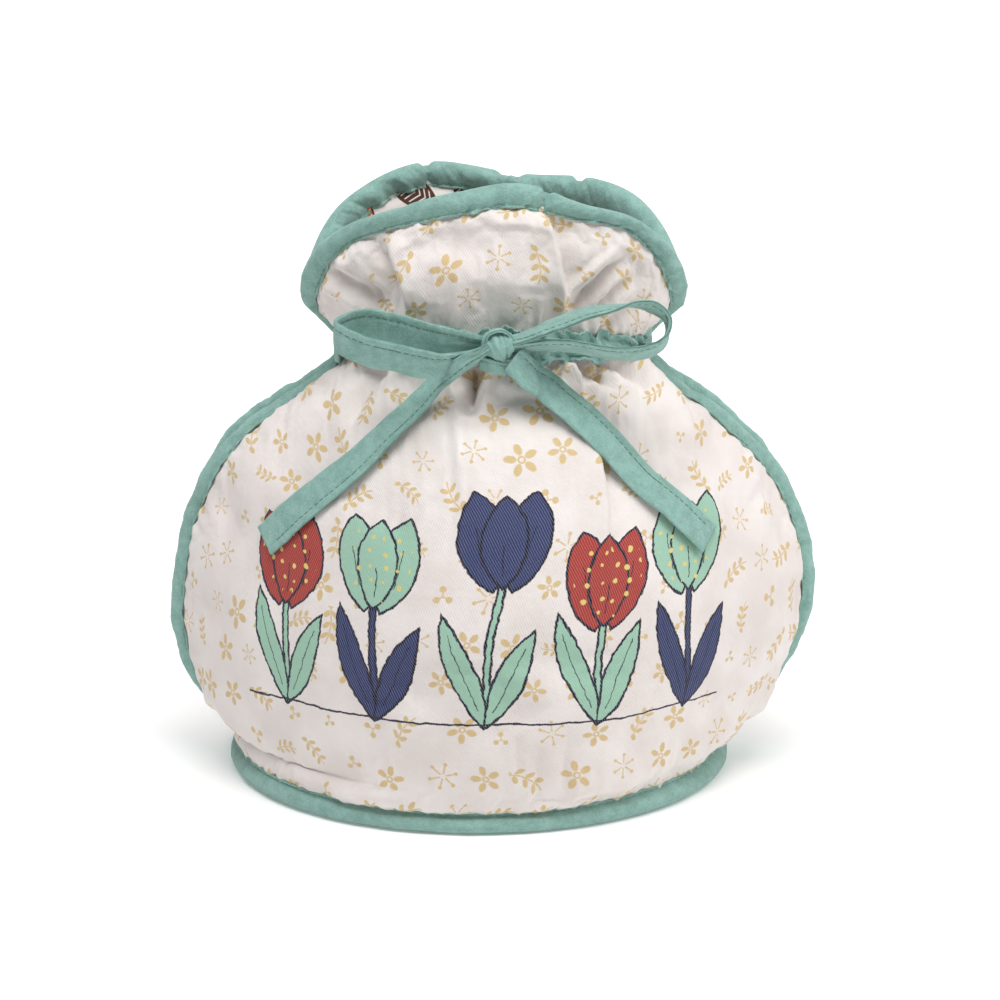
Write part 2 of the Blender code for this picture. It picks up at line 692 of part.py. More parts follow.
def add_bow(front, finish):
    """Knot, two loops and two tails of the tape, joined into one solid."""
    centre = knot_centre(front)

    def build(made):
        bmesh.ops.create_uvsphere(made, u_segments=14, v_segments=9, radius=1.0)
        bmesh.ops.scale(made, vec=Vector(KNOT_RADII), verts=made.verts)
        bmesh.ops.translate(made, vec=Vector(centre), verts=made.verts)

    bow = add_object("tie_bow", build, finish)
    strands = []
    for name, points, across in (
        ("loop_left", LEFT_LOOP, LEFT_LOOP_ACROSS),
        ("loop_right", RIGHT_LOOP, RIGHT_LOOP_ACROSS),
    ):
        line = even_line(np.array(points) * MM, LOOP_COUNT) + centre
        taper = ease(np.minimum(np.arange(LOOP_COUNT), np.arange(LOOP_COUNT)[::-1]) / 8)
        width = TAPE_WIDTH * (0.62 + 0.38 * taper)
        strands.append((name, tape_rings(line, across, width)))
    for name, start, table, lead in (
        ("tail_left", LEFT_TAIL_START, LEFT_TAIL, LEFT_TAIL_LEAD),
        ("tail_right", RIGHT_TAIL_START, RIGHT_TAIL, RIGHT_TAIL_LEAD),
    ):
        line, across, width = tail_line(front, centre, start, table, lead)
        strands.append((name, tape_rings(line, across, width)))
    for name, rings in strands:
        strand = add_sweep(name, rings, finish)
        strand.hide_render = True
        strand.display_type = "WIRE"
        join = bow.modifiers.new(f"join_{name}", "BOOLEAN")
        join.operation = "UNION"
        join.object = strand
    return bow


def add_tie_sides(front, back, finish):
    """The tape where it crosses each slit, between the ends of the two casings."""
    across = np.linspace(-TIE_SIDE_REACH, TIE_SIDE_REACH, 4)[:, None]
    for name, sign in (("left", -1), ("right", 1)):
        s = sign * np.linspace(CASING_END + 0.02, 1.0, 4)[None, :]
        inner, outer = [], []
        for panel in (front, back):
            side = panel.at(panel.beside_neck(across, s), s, TIE_SIDE_IN)
            inner.append(side)
            outer.append(side + panel.neck_out(s) * TAPE_THICK)
        inner, outer = (np.concatenate([a, b[:, ::-1]], axis=1) for a, b in (inner, outer))
        add_layer(f"tie_side_{name}", outer, inner, finish)


def main():
    for obj in list(bpy.data.objects):
        bpy.data.objects.remove(obj, do_unlink=True)
    cream = material("printed_cotton", CREAM, 0.9)
    green = material("green_cotton", GREEN, 0.85)
    rust = material("lining_cotton", RUST, 0.9)
    front, back = Panel("front", -1), Panel("back", 1)
    for panel in (front, back):
        grid = panel_grid(panel)
        add_panel(panel, grid, cream)
        add_lining(panel, grid, rust)
        add_edge_binding(panel, green)
        add_casing(panel, green)
    add_hem(front, back, green)
    add_bow(front, green)
    add_tie_sides(front, back, green)


main()
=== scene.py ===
# %% [markdown]
# # A padded tea cosy
#
# This cosy is two padded panels of printed cotton, each with a lining of its own. They are
# sewn together only just above the hem, so the spout and the handle can pass between their
# bound side edges. A gathered casing and a tied tape draw the neck in under a flared collar.
#
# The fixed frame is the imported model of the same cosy. Each of its plain solids is
# replaced here by a finely modelled piece of cloth that keeps to the same room.

# %% Load the frame
import math

import bmesh
import bpy
import numpy as np
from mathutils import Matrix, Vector
from mathutils.bvhtree import BVHTree


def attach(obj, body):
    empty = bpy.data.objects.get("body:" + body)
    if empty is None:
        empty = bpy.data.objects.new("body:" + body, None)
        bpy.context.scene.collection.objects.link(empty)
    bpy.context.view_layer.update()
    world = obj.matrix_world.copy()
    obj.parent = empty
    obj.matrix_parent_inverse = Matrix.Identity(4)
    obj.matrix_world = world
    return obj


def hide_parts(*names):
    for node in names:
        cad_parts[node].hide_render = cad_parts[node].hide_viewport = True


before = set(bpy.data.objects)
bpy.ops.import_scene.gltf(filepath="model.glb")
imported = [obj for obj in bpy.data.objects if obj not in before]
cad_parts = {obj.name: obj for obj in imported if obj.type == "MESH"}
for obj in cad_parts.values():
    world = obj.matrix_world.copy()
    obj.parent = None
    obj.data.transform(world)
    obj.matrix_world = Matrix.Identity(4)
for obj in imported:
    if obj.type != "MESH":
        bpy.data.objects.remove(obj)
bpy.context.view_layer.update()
MM = 0.001
print("solids to dress:", ", ".join(sorted(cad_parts)))

# %% [markdown]
# ## The shape that all the cloth follows
#
# Sewn cloth has no simple outline, so its mid-surface is described by level sections. Each
# section says how far the cosy reaches to the left, right and front at one height, how
# pointed its sides are and how far the two panels stand apart there. A cubic curve joins
# them. A table like this is easy to correct, one number at a time.

# %% Level sections of the body, in millimetres
SECTION_COLUMNS = ("height", "left", "right", "depth", "point", "gap_left", "gap_right")
SECTIONS = np.array((
    (0, 92.8, 83.4, 87.3, 1.00, 0.25, 0.25),
    (5, 93.2, 83.2, 88.0, 1.00, 0.25, 0.25),
    (9, 94.4, 83.6, 88.6, 1.02, 0.25, 0.25),
    (12, 93.2, 84.2, 89.0, 1.05, 0.30, 0.30),
    (15, 92.0, 87.8, 89.5, 1.12, 0.9, 0.9),
    (20, 97.4, 94.0, 90.2, 1.30, 1.8, 1.8),
    (26, 104.2, 99.6, 91.0, 1.50, 2.2, 2.2),
    (36, 111.8, 106.2, 92.0, 1.80, 2.4, 2.4),
    (50, 116.3, 113.7, 92.5, 1.95, 2.6, 3.6),
    (62, 117.0, 116.6, 92.0, 2.00, 2.8, 7.0),
    (72, 115.8, 117.0, 91.2, 2.00, 2.8, 7.6),
    (85, 113.4, 115.5, 88.6, 2.00, 3.0, 3.6),
    (98, 110.0, 111.0, 84.4, 2.00, 4.6, 2.6),
    (110, 104.3, 104.4, 78.8, 2.00, 9.6, 2.8),
    (122, 94.6, 93.4, 70.4, 1.90, 10.6, 4.4),
    (134, 77.2, 78.6, 59.4, 1.75, 6.4, 7.6),
    (145, 57.0, 59.0, 48.6, 1.55, 3.4, 5.0),
    (151, 50.0, 51.2, 44.4, 1.40, 2.6, 2.6),
    (159, 47.4, 47.8, 41.4, 1.30, 2.4, 2.4),
))
SLIT_FOOT = 13.0 * MM
NECK_HEIGHT = 159.0 * MM
NECK_LIFT = 5.0 * MM
NECK_LIFT_SPREAD = 34.0 * MM
NECK_ROUNDING = 6.5 * MM
GRID_STEP = 1.0 * MM
GRID_COLUMNS = 361
ROW_POINTS = 641


def smooth_curve(x, knots, values):
    """A cubic curve through the knots, with slopes taken from their neighbours."""
    slopes = np.gradient(values, knots)
    x = np.clip(x, knots[0], knots[-1])
    k = np.clip(np.searchsorted(knots, x) - 1, 0, len(knots) - 2)
    span = knots[k + 1] - knots[k]
    t = (x - knots[k]) / span
    return (
        values[k] * (1 + 2 * t) * (1 - t) ** 2
        + values[k + 1] * t * t * (3 - 2 * t)
        + span * slopes[k] * t * (1 - t) ** 2
        + span * slopes[k + 1] * t * t * (t - 1)
    )


def ease(x):
    """0 below 0, 1 above 1 and a soft step between."""
    x = np.clip(x, 0.0, 1.0)
    return x * x * (3 - 2 * x)


def bell(x, middle, width):
    """1 at the middle, fading softly to 0 on both sides."""
    return np.exp(-(((x - middle) / width) ** 2))


def section_value(name, height):
    scale = 1.0 if name == "point" else MM
    values = SECTIONS[:, SECTION_COLUMNS.index(name)] * scale
    return smooth_curve(height, SECTIONS[:, 0] * MM, values)


def lengths_along(line):
    """How far along a line each of its points lies."""
    steps = np.linalg.norm(np.diff(line, axis=0), axis=1)
    return np.concatenate([[0.0], np.cumsum(steps)])


def between_rows(at, along, rows):
    """Rows of numbers at new places along a line, worked out from those at given places."""
    return np.stack([np.interp(at, along, column) for column in rows.T], axis=1)


def even_line(line, count):
    """The same line with points evenly spaced along it."""
    along = lengths_along(line)
    return between_rows(np.linspace(0.0, along[-1], count), along, line)


def body_row(height, side):
    """One level section of one panel: round at the hem, pointed at the sides higher up."""
    left, right = section_value("left", height), section_value("right", height)
    across = np.sin(np.linspace(-1.0, 1.0, ROW_POINTS) * math.pi / 2)
    gap = np.where(
        across < 0, section_value("gap_left", height), section_value("gap_right", height)
    )
    middle_gap = (gap[0] + gap[-1]) / 2
    gap = middle_gap + (gap - middle_gap) * ease(np.abs(across) * 1.2 - 0.2)
    depth, point = section_value("depth", height), section_value("point", height)
    out = gap + (depth - gap) * np.maximum(1 - across**2, 0.0) ** (point / 2)
    x = (right - left) / 2 + (right + left) / 2 * across
    row = np.stack([x, side * out, np.full_like(x, height)], axis=1)
    return even_line(row, GRID_COLUMNS)


print("sections:", len(SECTIONS), "from the hem to", SECTIONS[-1, 0], "mm")

# %% [markdown]
# ## The rim of the collar
#
# Above the tied neck the cloth springs open again. The top edge of each panel is an arch
# in the view from the front and an oval from above, and it wanders a little in height
# because the binding on it is stiffer than the cloth below. The waves say where.

# %% The rim's arch and its waves
RIM_HALF_WIDTH = 68.0 * MM
RIM_CENTRE_X = 0.8 * MM
RIM_SPRING = 179.0 * MM
RIM_RISE = 40.0 * MM
RIM_SWEEP = math.radians(96.0)
RIM_DEPTHS = {"front": 43.0 * MM, "back": 46.5 * MM}
RIM_END_GAP = 2.4 * MM
COLLAR_BULGES = {"front": 5.0 * MM, "back": 2.5 * MM}
RIM_WAVES = {
    "front": ((0.10, 2.0, 0.18), (0.30, -2.6, 0.10), (-0.40, -1.6, 0.20)),
    "back": ((-0.58, 2.6, 0.16), (-0.30, 2.8, 0.18), (0.08, -5.6, 0.20), (0.54, 2.2, 0.16)),
}


def rim_row(name, side):
    s = np.linspace(-1.0, 1.0, ROW_POINTS)
    angle = s * RIM_SWEEP
    out = RIM_END_GAP + (RIM_DEPTHS[name] - RIM_END_GAP) * np.cos(s * math.pi / 2) ** 0.8
    height = RIM_SPRING + RIM_RISE * np.cos(angle)
    for at, high, wide in RIM_WAVES[name]:
        height += high * MM * bell(s, at, wide)
    x = RIM_CENTRE_X + RIM_HALF_WIDTH * np.sin(angle)
    return even_line(np.stack([x, side * out, height], axis=1), GRID_COLUMNS)


print("rim:", round(RIM_HALF_WIDTH * 2 / MM), "mm wide")

# %% [markdown]
# ## Gathers
#
# The drawn-up tape gathers the neck into folds that fade into the body and the collar. The
# broad ones are part of the shape itself, so every layer follows them: each has a place at
# its foot, at the neck and at the rim, a depth, and how far down and up it fades.

# %% The broad gathers: (foot, neck, rim, depth, down, up)
FOLDS = {
    "front": (
        (-0.80, -0.74, -0.86, 2.4, 28, 20),
        (-0.52, -0.48, -0.50, 2.8, 46, 48),
        (-0.26, -0.25, -0.24, 2.2, 30, 22),
        (0.00, 0.01, 0.02, 2.4, 36, 20),
        (0.36, 0.32, 0.20, 3.0, 70, 90),
        (0.60, 0.55, 0.62, 2.6, 46, 44),
        (0.84, 0.78, 0.88, 2.4, 28, 20),
    ),
    "back": (
        (-0.82, -0.76, -0.84, 2.4, 28, 20),
        (-0.56, -0.52, -0.50, 2.8, 46, 60),
        (-0.26, -0.24, -0.30, 3.0, 58, 70),
        (0.02, 0.01, 0.02, 2.2, 30, 24),
        (0.30, 0.27, 0.22, 2.6, 50, 76),
        (0.58, 0.54, 0.56, 2.8, 46, 30),
        (0.84, 0.78, 0.86, 2.4, 28, 20),
    ),
}
FOLD_HALF_WIDTH = 6.2 * MM


class Shape:
    """The mid-surface of one panel: v is measured up the cloth, s runs across from -1 to 1."""

    def __init__(self, name, side):
        self.name, self.side = name, side
        heights = np.linspace(0.0, NECK_HEIGHT, 400)
        climb = lengths_along(
            np.stack([heights, section_value("depth", heights), heights * 0], axis=1)
        )
        self.neck = climb[-1]
        rim, neck = rim_row(name, side), body_row(NECK_HEIGHT, side)
        middle = GRID_COLUMNS // 2
        self.top = self.neck + float(np.linalg.norm(rim[middle] - neck[middle]))
        self.v = np.linspace(0.0, self.top, round(self.top / GRID_STEP) + 1)
        self.s = np.linspace(-1.0, 1.0, GRID_COLUMNS)
        rows = []
        for v in self.v:
            if v <= self.neck:
                rows.append(body_row(np.interp(v, climb, heights), side))
                continue
            t = (v - self.neck) / (self.top - self.neck)
            row = neck * (1 - t) + rim * t
            row[:, 1] += side * COLLAR_BULGES[name] * 4 * t * (1 - t) * (1 - self.s**4)
            rows.append(row)
        self.grid = self.round_neck(np.array(rows))
        self.heights = self.grid[:, 0, 2].copy()
        near_neck = bell(self.v, self.neck, NECK_LIFT_SPREAD)
        self.grid[..., 2] += NECK_LIFT * near_neck[:, None] * (1 - self.s**2)
        self.normals = self.grid_normals()
        lengths = np.linalg.norm(np.diff(self.grid, axis=1), axis=2).sum(axis=1)
        self.half_length = lengths / 2
        self.grid += self.normals * self.gathers()[..., None]
        self.tree = self.make_tree()

    def half_at(self, v):
        """Half the cloth's width across at v."""
        return np.interp(v, self.v, self.half_length)

    def v_at_height(self, height):
        """The v of a height on the body, below the neck."""
        body = self.v <= self.neck
        return float(np.interp(height, self.heights[body], self.v[body]))

    def grid_normals(self):
        up, across = np.gradient(self.grid, axis=0), np.gradient(self.grid, axis=1)
        normals = np.cross(across, up)
        return normals / np.linalg.norm(normals, axis=2, keepdims=True) * -self.side

    def round_neck(self, grid):
        """Turn the sharp crease between shoulder and collar into a rounded valley."""
        reach = round(3 * NECK_ROUNDING / GRID_STEP)
        kernel = np.exp(-((np.arange(-reach, reach + 1) * GRID_STEP / NECK_ROUNDING) ** 2) / 2)
        kernel /= kernel.sum()
        padded = np.pad(grid, ((reach, reach), (0, 0), (0, 0)), "edge")
        rounded = sum(k * padded[i : i + len(grid)] for i, k in enumerate(kernel))
        near = ease(2.0 - np.abs(self.v - self.neck) / (16 * MM))[:, None, None]
        return grid * (1 - near) + rounded * near

    def gathers(self):
        """How far each grid point is pushed in or out by the broad gathers."""
        v, s = np.meshgrid(self.v, self.s, indexing="ij")
        half = self.half_length[:, None]
        push = np.zeros_like(v)
        for low, neck, rim, depth, down, up in FOLDS[self.name]:
            below = np.clip((self.neck - v) / (down * MM), 0, None)
            above = np.clip((v - self.neck) / (up * MM), 0, None)
            place = neck + (low - neck) * np.minimum(below, 1.0)
            place += (rim - neck) * np.clip((v - self.neck) / (self.top - self.neck), 0, 1)
            fade = np.exp(-(below**1.6)) * np.exp(-(above**1.6))
            spread = FOLD_HALF_WIDTH * (1 + 0.5 * below + 0.4 * above)
            groove = bell((s - place) * half, 0.0, spread)
            push -= depth * MM * fade * (groove - 0.35)
        return push * (1 - s**8)

    def mix(self, grid, v, s):
        """Values of a grid at v and s, between its points."""
        i = np.clip(v / self.top, 0, 1) * (len(self.v) - 1)
        j = (np.clip(s, -1, 1) + 1) / 2 * (GRID_COLUMNS - 1)
        i0 = np.minimum(i.astype(int), len(self.v) - 2)
        j0 = np.minimum(j.astype(int), GRID_COLUMNS - 2)
        a, b = i - i0, j - j0
        if grid.ndim == 3:
            a, b = a[..., None], b[..., None]
        low = grid[i0, j0] * (1 - b) + grid[i0, j0 + 1] * b
        high = grid[i0 + 1, j0] * (1 - b) + grid[i0 + 1, j0 + 1] * b
        return low * (1 - a) + high * a

    def at(self, v, s, offset=0.0):
        """Points of the surface at v and s, moved out by offset."""
        v, s = np.broadcast_arrays(np.asarray(v, float), np.asarray(s, float))
        offset = np.broadcast_to(np.asarray(offset, float), v.shape)[..., None]
        return self.mix(self.grid, v, s) + self.out(v, s) * offset

    def out(self, v, s):
        """The directions that lead straight out of the surface."""
        v, s = np.broadcast_arrays(np.asarray(v, float), np.asarray(s, float))
        normal = self.mix(self.normals, v, s)
        return normal / np.linalg.norm(normal, axis=-1, keepdims=True)

    def beside_neck(self, distance, s):
        """The v that lies at a distance up (or down) the cloth from the neck at s."""
        distance, s = np.broadcast_arrays(distance, s)
        v = np.empty(s.shape)
        for place in np.unique(s):
            along = lengths_along(self.at(self.v, place))
            neck = np.interp(self.neck, self.v, along)
            here = s == place
            v[here] = np.interp(neck + distance[here], along, self.v)
        return v

    def make_tree(self):
        """The mid-surface as a tree that finds the cell nearest to a point."""
        rows, columns = self.grid.shape[:2]
        points = [Vector(p) for p in self.grid.reshape(-1, 3)]
        corner = [i * columns + j for i in range(rows - 1) for j in range(columns - 1)]
        faces = [(k, k + 1, k + columns + 1, k + columns) for k in corner]
        return BVHTree.FromPolygons(points, faces)

    def place(self, point):
        """The v and s of the surface point nearest to a point."""
        near, _, index, _ = self.tree.find_nearest(Vector(point))
        i, j = divmod(index, GRID_COLUMNS - 1)
        start = self.grid[i, j]
        along_v, along_s = self.grid[i + 1, j] - start, self.grid[i, j + 1] - start
        a = (np.array(near) - start) @ along_v / (along_v @ along_v)
        b = (np.array(near) - start) @ along_s / (along_s @ along_s)
        v = self.v[i] + np.clip(a, 0, 1) * (self.v[1] - self.v[0])
        return v, self.s[j] + np.clip(b, 0, 1) * (self.s[1] - self.s[0])


front, back = Shape("front", -1), Shape("back", 1)
print("cloth from hem to rim:", round(front.top / MM), "mm, neck at", round(front.neck / MM))

# %% [markdown]
# ## From grids of points to meshes
#
# Every piece here is either a layer between two grids or a closed section swept along a
# line. A few small helpers make both, and give each face the place that it has on the flat
# cloth, in metres. Weave and print are then drawn at their true scale by the materials.

# %% Helpers that make meshes
def put_in_scene(name, data):
    made = bpy.data.objects.new(name, data)
    bpy.context.scene.collection.objects.link(made)
    return made


def mesh_of(name, points, faces):
    mesh = bpy.data.meshes.new(name)
    mesh.from_pydata(np.asarray(points, float).tolist(), [], faces)
    return mesh


def add_piece(name, points, faces, places, finish, slot):
    """A mesh whose faces know their place on the flat cloth."""
    mesh = mesh_of(name, points, faces)
    layer = mesh.uv_layers.new(name="flat_cloth")
    layer.data.foreach_set("uv", np.asarray(places, np.float32).ravel())
    mesh.materials.append(finish)
    mesh.shade_smooth()
    turned = bmesh.new()
    turned.from_mesh(mesh)
    bmesh.ops.recalc_face_normals(turned, faces=turned.faces)
    turned.to_mesh(mesh)
    turned.free()
    piece = put_in_scene(name, mesh)
    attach(piece, "root")
    triangles = sum(len(p.vertices) - 2 for p in mesh.polygons)
    print(f"{name}: {triangles} triangles")
    return piece


def grid_faces(rows, columns, first):
    """Quads of a grid of vertices that starts at vertex number first."""
    i, j = np.meshgrid(np.arange(rows - 1), np.arange(columns - 1), indexing="ij")
    k = (first + i * columns + j).ravel()
    return np.stack([k, k + 1, k + columns + 1, k + columns], axis=1)


def border_of(rows, columns, first):
    """Vertex numbers round a grid, in order."""
    ring = [j for j in range(columns)]
    ring += [i * columns + columns - 1 for i in range(1, rows)]
    ring += [(rows - 1) * columns + j for j in range(columns - 2, -1, -1)]
    ring += [i * columns for i in range(rows - 2, 0, -1)]
    return np.array(ring) + first


def layer_piece(name, outer, inner, flat, finish, slot):
    """A closed layer between a fine outer grid and an inner grid of half as many cells."""
    rows, columns = outer.shape[:2]
    half_rows, half_columns = inner.shape[:2]
    split = rows * columns
    faces = grid_faces(rows, columns, 0).tolist()
    faces += grid_faces(half_rows, half_columns, split)[:, ::-1].tolist()
    fine = border_of(rows, columns, 0)
    coarse = border_of(half_rows, half_columns, split)
    for k in range(len(coarse)):
        a, b = coarse[k], coarse[(k + 1) % len(coarse)]
        first, middle, last = fine[2 * k], fine[2 * k + 1], fine[(2 * k + 2) % len(fine)]
        faces += [[middle, first, a], [last, middle, b], [middle, a, b]]
    points = np.concatenate([outer.reshape(-1, 3), inner.reshape(-1, 3)])
    places = np.concatenate([flat.reshape(-1, 2), flat[::2, ::2].reshape(-1, 2)])
    corners = np.concatenate([places[face] for face in map(list, faces)])
    return add_piece(name, points, faces, corners, finish, slot)


def sweep(rings, closed=False, start=0.0):
    """Points, faces and flat places of a closed section carried along a line of rings."""
    rings = np.asarray(rings, float)
    count, size = rings.shape[:2]
    middle = rings.mean(axis=1)
    along = start + lengths_along(middle)
    around = lengths_along(np.concatenate([rings[count // 2], rings[count // 2][:1]]))
    points = rings.reshape(-1, 3)
    faces, places = [], []
    last = count if closed else count - 1
    step = along[-1] - along[-2]
    for i in range(last):
        n = (i + 1) % count
        far = along[i + 1] if i + 1 < count else along[i] + step
        for k in range(size):
            m = (k + 1) % size
            faces.append([i * size + k, i * size + m, n * size + m, n * size + k])
            a, b = around[k], around[k + 1]
            places += [(along[i], a), (along[i], b), (far, b), (far, a)]
    if not closed:
        for i, order in ((0, range(size)), (count - 1, range(size - 1, -1, -1))):
            faces.append([i * size + k for k in order])
            places += [(along[i], around[k]) for k in order]
    return points, faces, places


def join_parts(parts):
    """Several swept parts as one list of points, faces and places."""
    points, faces, places = [], [], []
    for part_points, part_faces, part_places in parts:
        first = len(points)
        points += list(part_points)
        faces += [[first + k for k in face] for face in part_faces]
        places += list(part_places)
    return points, faces, places


print("helpers ready")

# %% [markdown]
# ## Unevenness
#
# Nothing sewn is perfectly even. One small function gives a smooth random wander: a sum of
# waves with seeded directions. It is the same at each run, has any number of dimensions
# and can be as coarse as a slack panel or as fine as a pucker.

# %% A seeded wander
def wander(places, size, seed, waves=14):
    """A smooth random value near -1 to 1 for each place. size is that of its bumps."""
    rng = np.random.default_rng(seed)
    places = np.asarray(places, float)
    total = np.zeros(places.shape[:-1])
    for _ in range(waves):
        direction = rng.normal(size=places.shape[-1])
        direction *= rng.uniform(0.55, 1.35) / np.linalg.norm(direction)
        total += np.sin(places @ direction * (math.pi / size) + rng.uniform(0, 2 * math.pi))
    return total / math.sqrt(waves)


def wander_line(along, size, seed):
    return wander(np.asarray(along, float)[..., None], size, seed)


print("a few values:", wander_line(np.arange(4) * MM, 3 * MM, 1).round(2))

# %% [markdown]
# ## Where the free edges run
#
# Each panel has one free edge: up one side from the slit's foot, over the collar and down
# the other side. The binding follows it, the cloth ends just inside it and the stitching
# runs beside it, so it is traced once, with the directions out of and into the cloth.

# %% Trace the edges
EDGE_STEP = 1.2 * MM
EDGE_ROUNDING = 12


def eased_corners(line):
    """The line with its corners at the ends of the rim eased, and its ends kept."""
    for _ in range(EDGE_ROUNDING):
        line[1:-1] = (line[:-2] + 2 * line[1:-1] + line[2:]) / 4
    return line


class Edge:
    """The free edge of a panel as an even line, with two directions at each point."""

    def __init__(self, shape):
        rise = np.linspace(shape.v_at_height(SLIT_FOOT), shape.top, 400)
        over = np.linspace(-1.0, 1.0, 800)[1:-1]
        v = np.concatenate([rise, np.full(len(over), shape.top), rise[::-1]])
        s = np.concatenate([np.full_like(rise, -1.0), over, np.ones_like(rise)])
        line = shape.at(v, s)
        along = lengths_along(line)
        count = round(along[-1] / EDGE_STEP) + 1
        at = np.linspace(0.0, along[-1], count)
        self.line = eased_corners(even_line(line, count))
        self.along = lengths_along(self.line)
        self.normals = shape.out(np.interp(at, along, v), np.interp(at, along, s))
        tangents = np.gradient(self.line, axis=0)
        inward = np.cross(self.normals, tangents) * shape.side
        self.inward = inward / np.linalg.norm(inward, axis=1, keepdims=True)

    def nearest(self, points):
        """For each point the distance to the edge and the number of its nearest place."""
        flat = points.reshape(-1, 3)
        away, index = np.empty(len(flat)), np.empty(len(flat), int)
        for start in range(0, len(flat), 4000):
            part = flat[start : start + 4000]
            squares = ((part[:, None] - self.line[None]) ** 2).sum(axis=2)
            index[start : start + 4000] = squares.argmin(axis=1)
            away[start : start + 4000] = np.sqrt(squares.min(axis=1))
        return away.reshape(points.shape[:-1]), index.reshape(points.shape[:-1])


front_edge, back_edge = Edge(front), Edge(back)
print("free edge of each panel:", round(front_edge.along[-1] / MM), "mm")

# %% [markdown]
# ## Materials made of arithmetic
#
# Weave, stitches and prints are patterns that can be worked out at each point of the flat
# cloth. Blender does that with Math nodes. Written out one by one they are hard to read,
# so a small class lets them be written as ordinary sums, and each sum adds its node.

# %% Numbers that the shader works out
class Number:
    """A value that the shader works out at each point, joined up with ordinary signs."""

    def __init__(self, socket):
        self.socket = socket

    def __add__(self, other):
        return maths("ADD", self, other)

    def __sub__(self, other):
        return maths("SUBTRACT", self, other)

    def __rsub__(self, other):
        return maths("SUBTRACT", other, self)

    def __mul__(self, other):
        return maths("MULTIPLY", self, other)

    def __truediv__(self, other):
        return maths("DIVIDE", self, other)

    def __neg__(self):
        return maths("MULTIPLY", self, -1.0)

    def __abs__(self):
        return maths("ABSOLUTE", self)

    __radd__ = __add__
    __rmul__ = __mul__


def tree_of(number):
    return number.socket.id_data


def plug(value, socket):
    """Join a value to a socket: a number of the shader's own, or a plain one."""
    if isinstance(value, Number):
        socket.id_data.links.new(value.socket, socket)
    else:
        socket.default_value = value


def maths(operation, *values):
    tree = tree_of(next(v for v in values if isinstance(v, Number)))
    made = tree.nodes.new("ShaderNodeMath")
    made.operation = operation
    for value, socket in zip(values, made.inputs):
        plug(value, socket)
    return Number(made.outputs[0])


def least(*values):
    result = values[0]
    for value in values[1:]:
        result = maths("MINIMUM", result, value)
    return result


def most(a, b):
    return maths("MAXIMUM", a, b)


def wave(number):
    return maths("SINE", number)


def whole(number):
    return maths("FLOOR", number)


def length_of(x, y):
    return maths("SQRT", x * x + y * y)


def step_at(number, edge, soft):
    """1 where number is well below edge, 0 well above it, and a soft step between."""
    tree = tree_of(number)
    made = tree.nodes.new("ShaderNodeMapRange")
    made.interpolation_type = "SMOOTHSTEP"
    plug(number, made.inputs["Value"])
    made.inputs["From Min"].default_value = edge - soft
    made.inputs["From Max"].default_value = edge + soft
    made.inputs["To Min"].default_value = 1.0
    made.inputs["To Max"].default_value = 0.0
    return Number(made.outputs["Result"])


def vector_of(x, y, z=0.0):
    number = next(v for v in (x, y, z) if isinstance(v, Number))
    made = tree_of(number).nodes.new("ShaderNodeCombineXYZ")
    for value, socket in zip((x, y, z), made.inputs):
        plug(value, socket)
    return Number(made.outputs[0])


def clouds(place, scale, detail=2.0, roughness=0.5):
    """Soft random values round 0.5, with bumps of about 1 / scale."""
    made = tree_of(place).nodes.new("ShaderNodeTexNoise")
    plug(place, made.inputs["Vector"])
    made.inputs["Scale"].default_value = scale
    made.inputs["Detail"].default_value = detail
    made.inputs["Roughness"].default_value = roughness
    return Number(made.outputs[0])


def dice(x, y, seed):
    """Three random values from 0 to 1 that belong to a numbered cell."""
    tree = tree_of(x)
    made = tree.nodes.new("ShaderNodeTexWhiteNoise")
    made.noise_dimensions = "3D"
    plug(vector_of(x, y, seed), made.inputs["Vector"])
    parts = tree.nodes.new("ShaderNodeSeparateColor")
    tree.links.new(made.outputs["Color"], parts.inputs["Color"])
    return [Number(output) for output in parts.outputs]


def mixed(share, first, second):
    """A colour between two others. Each is a plain colour or one that was mixed before."""
    made = tree_of(share).nodes.new("ShaderNodeMix")
    made.data_type = "RGBA"
    plug(share, made.inputs[0])
    for value, socket in ((first, made.inputs[6]), (second, made.inputs[7])):
        plug(value if isinstance(value, Number) else (*value, 1.0), socket)
    return Number(made.outputs[2])


def linear(red, green, blue):
    """A colour given as on a screen, from 0 to 255, in the values that light adds up in."""
    shares = np.array((red, green, blue)) / 255
    return tuple(np.where(shares <= 0.04045, shares / 12.92, ((shares + 0.055) / 1.055) ** 2.4))


class Cloth:
    """A cotton material: its shader, and its place on the flat cloth in millimetres."""

    def __init__(self, name, roughness, sheen):
        self.made = bpy.data.materials.new(name)
        self.made.use_nodes = True
        self.tree = self.made.node_tree
        self.shader = self.tree.nodes["Principled BSDF"]
        self.shader.inputs["Roughness"].default_value = roughness
        self.shader.inputs["Sheen Weight"].default_value = sheen
        self.shader.inputs["Sheen Roughness"].default_value = 0.4
        self.shader.inputs["Specular IOR Level"].default_value = 0.25
        source = self.tree.nodes.new("ShaderNodeUVMap")
        source.uv_map = "flat_cloth"
        parts = self.tree.nodes.new("ShaderNodeSeparateXYZ")
        self.tree.links.new(source.outputs[0], parts.inputs[0])
        self.x = Number(parts.outputs[0]) * (1 / MM)
        self.y = Number(parts.outputs[1]) * (1 / MM)
        self.place = vector_of(self.x, self.y)
        self.normal = None

    def bump(self, height, depth):
        """Raise the surface by depth metres where height is 1."""
        made = self.tree.nodes.new("ShaderNodeBump")
        made.inputs["Distance"].default_value = depth
        plug(height, made.inputs["Height"])
        if self.normal:
            plug(self.normal, made.inputs["Normal"])
        self.normal = Number(made.outputs[0])

    def finish(self, colour):
        plug(colour, self.shader.inputs["Base Color"])
        if self.normal:
            plug(self.normal, self.shader.inputs["Normal"])
        return self.made


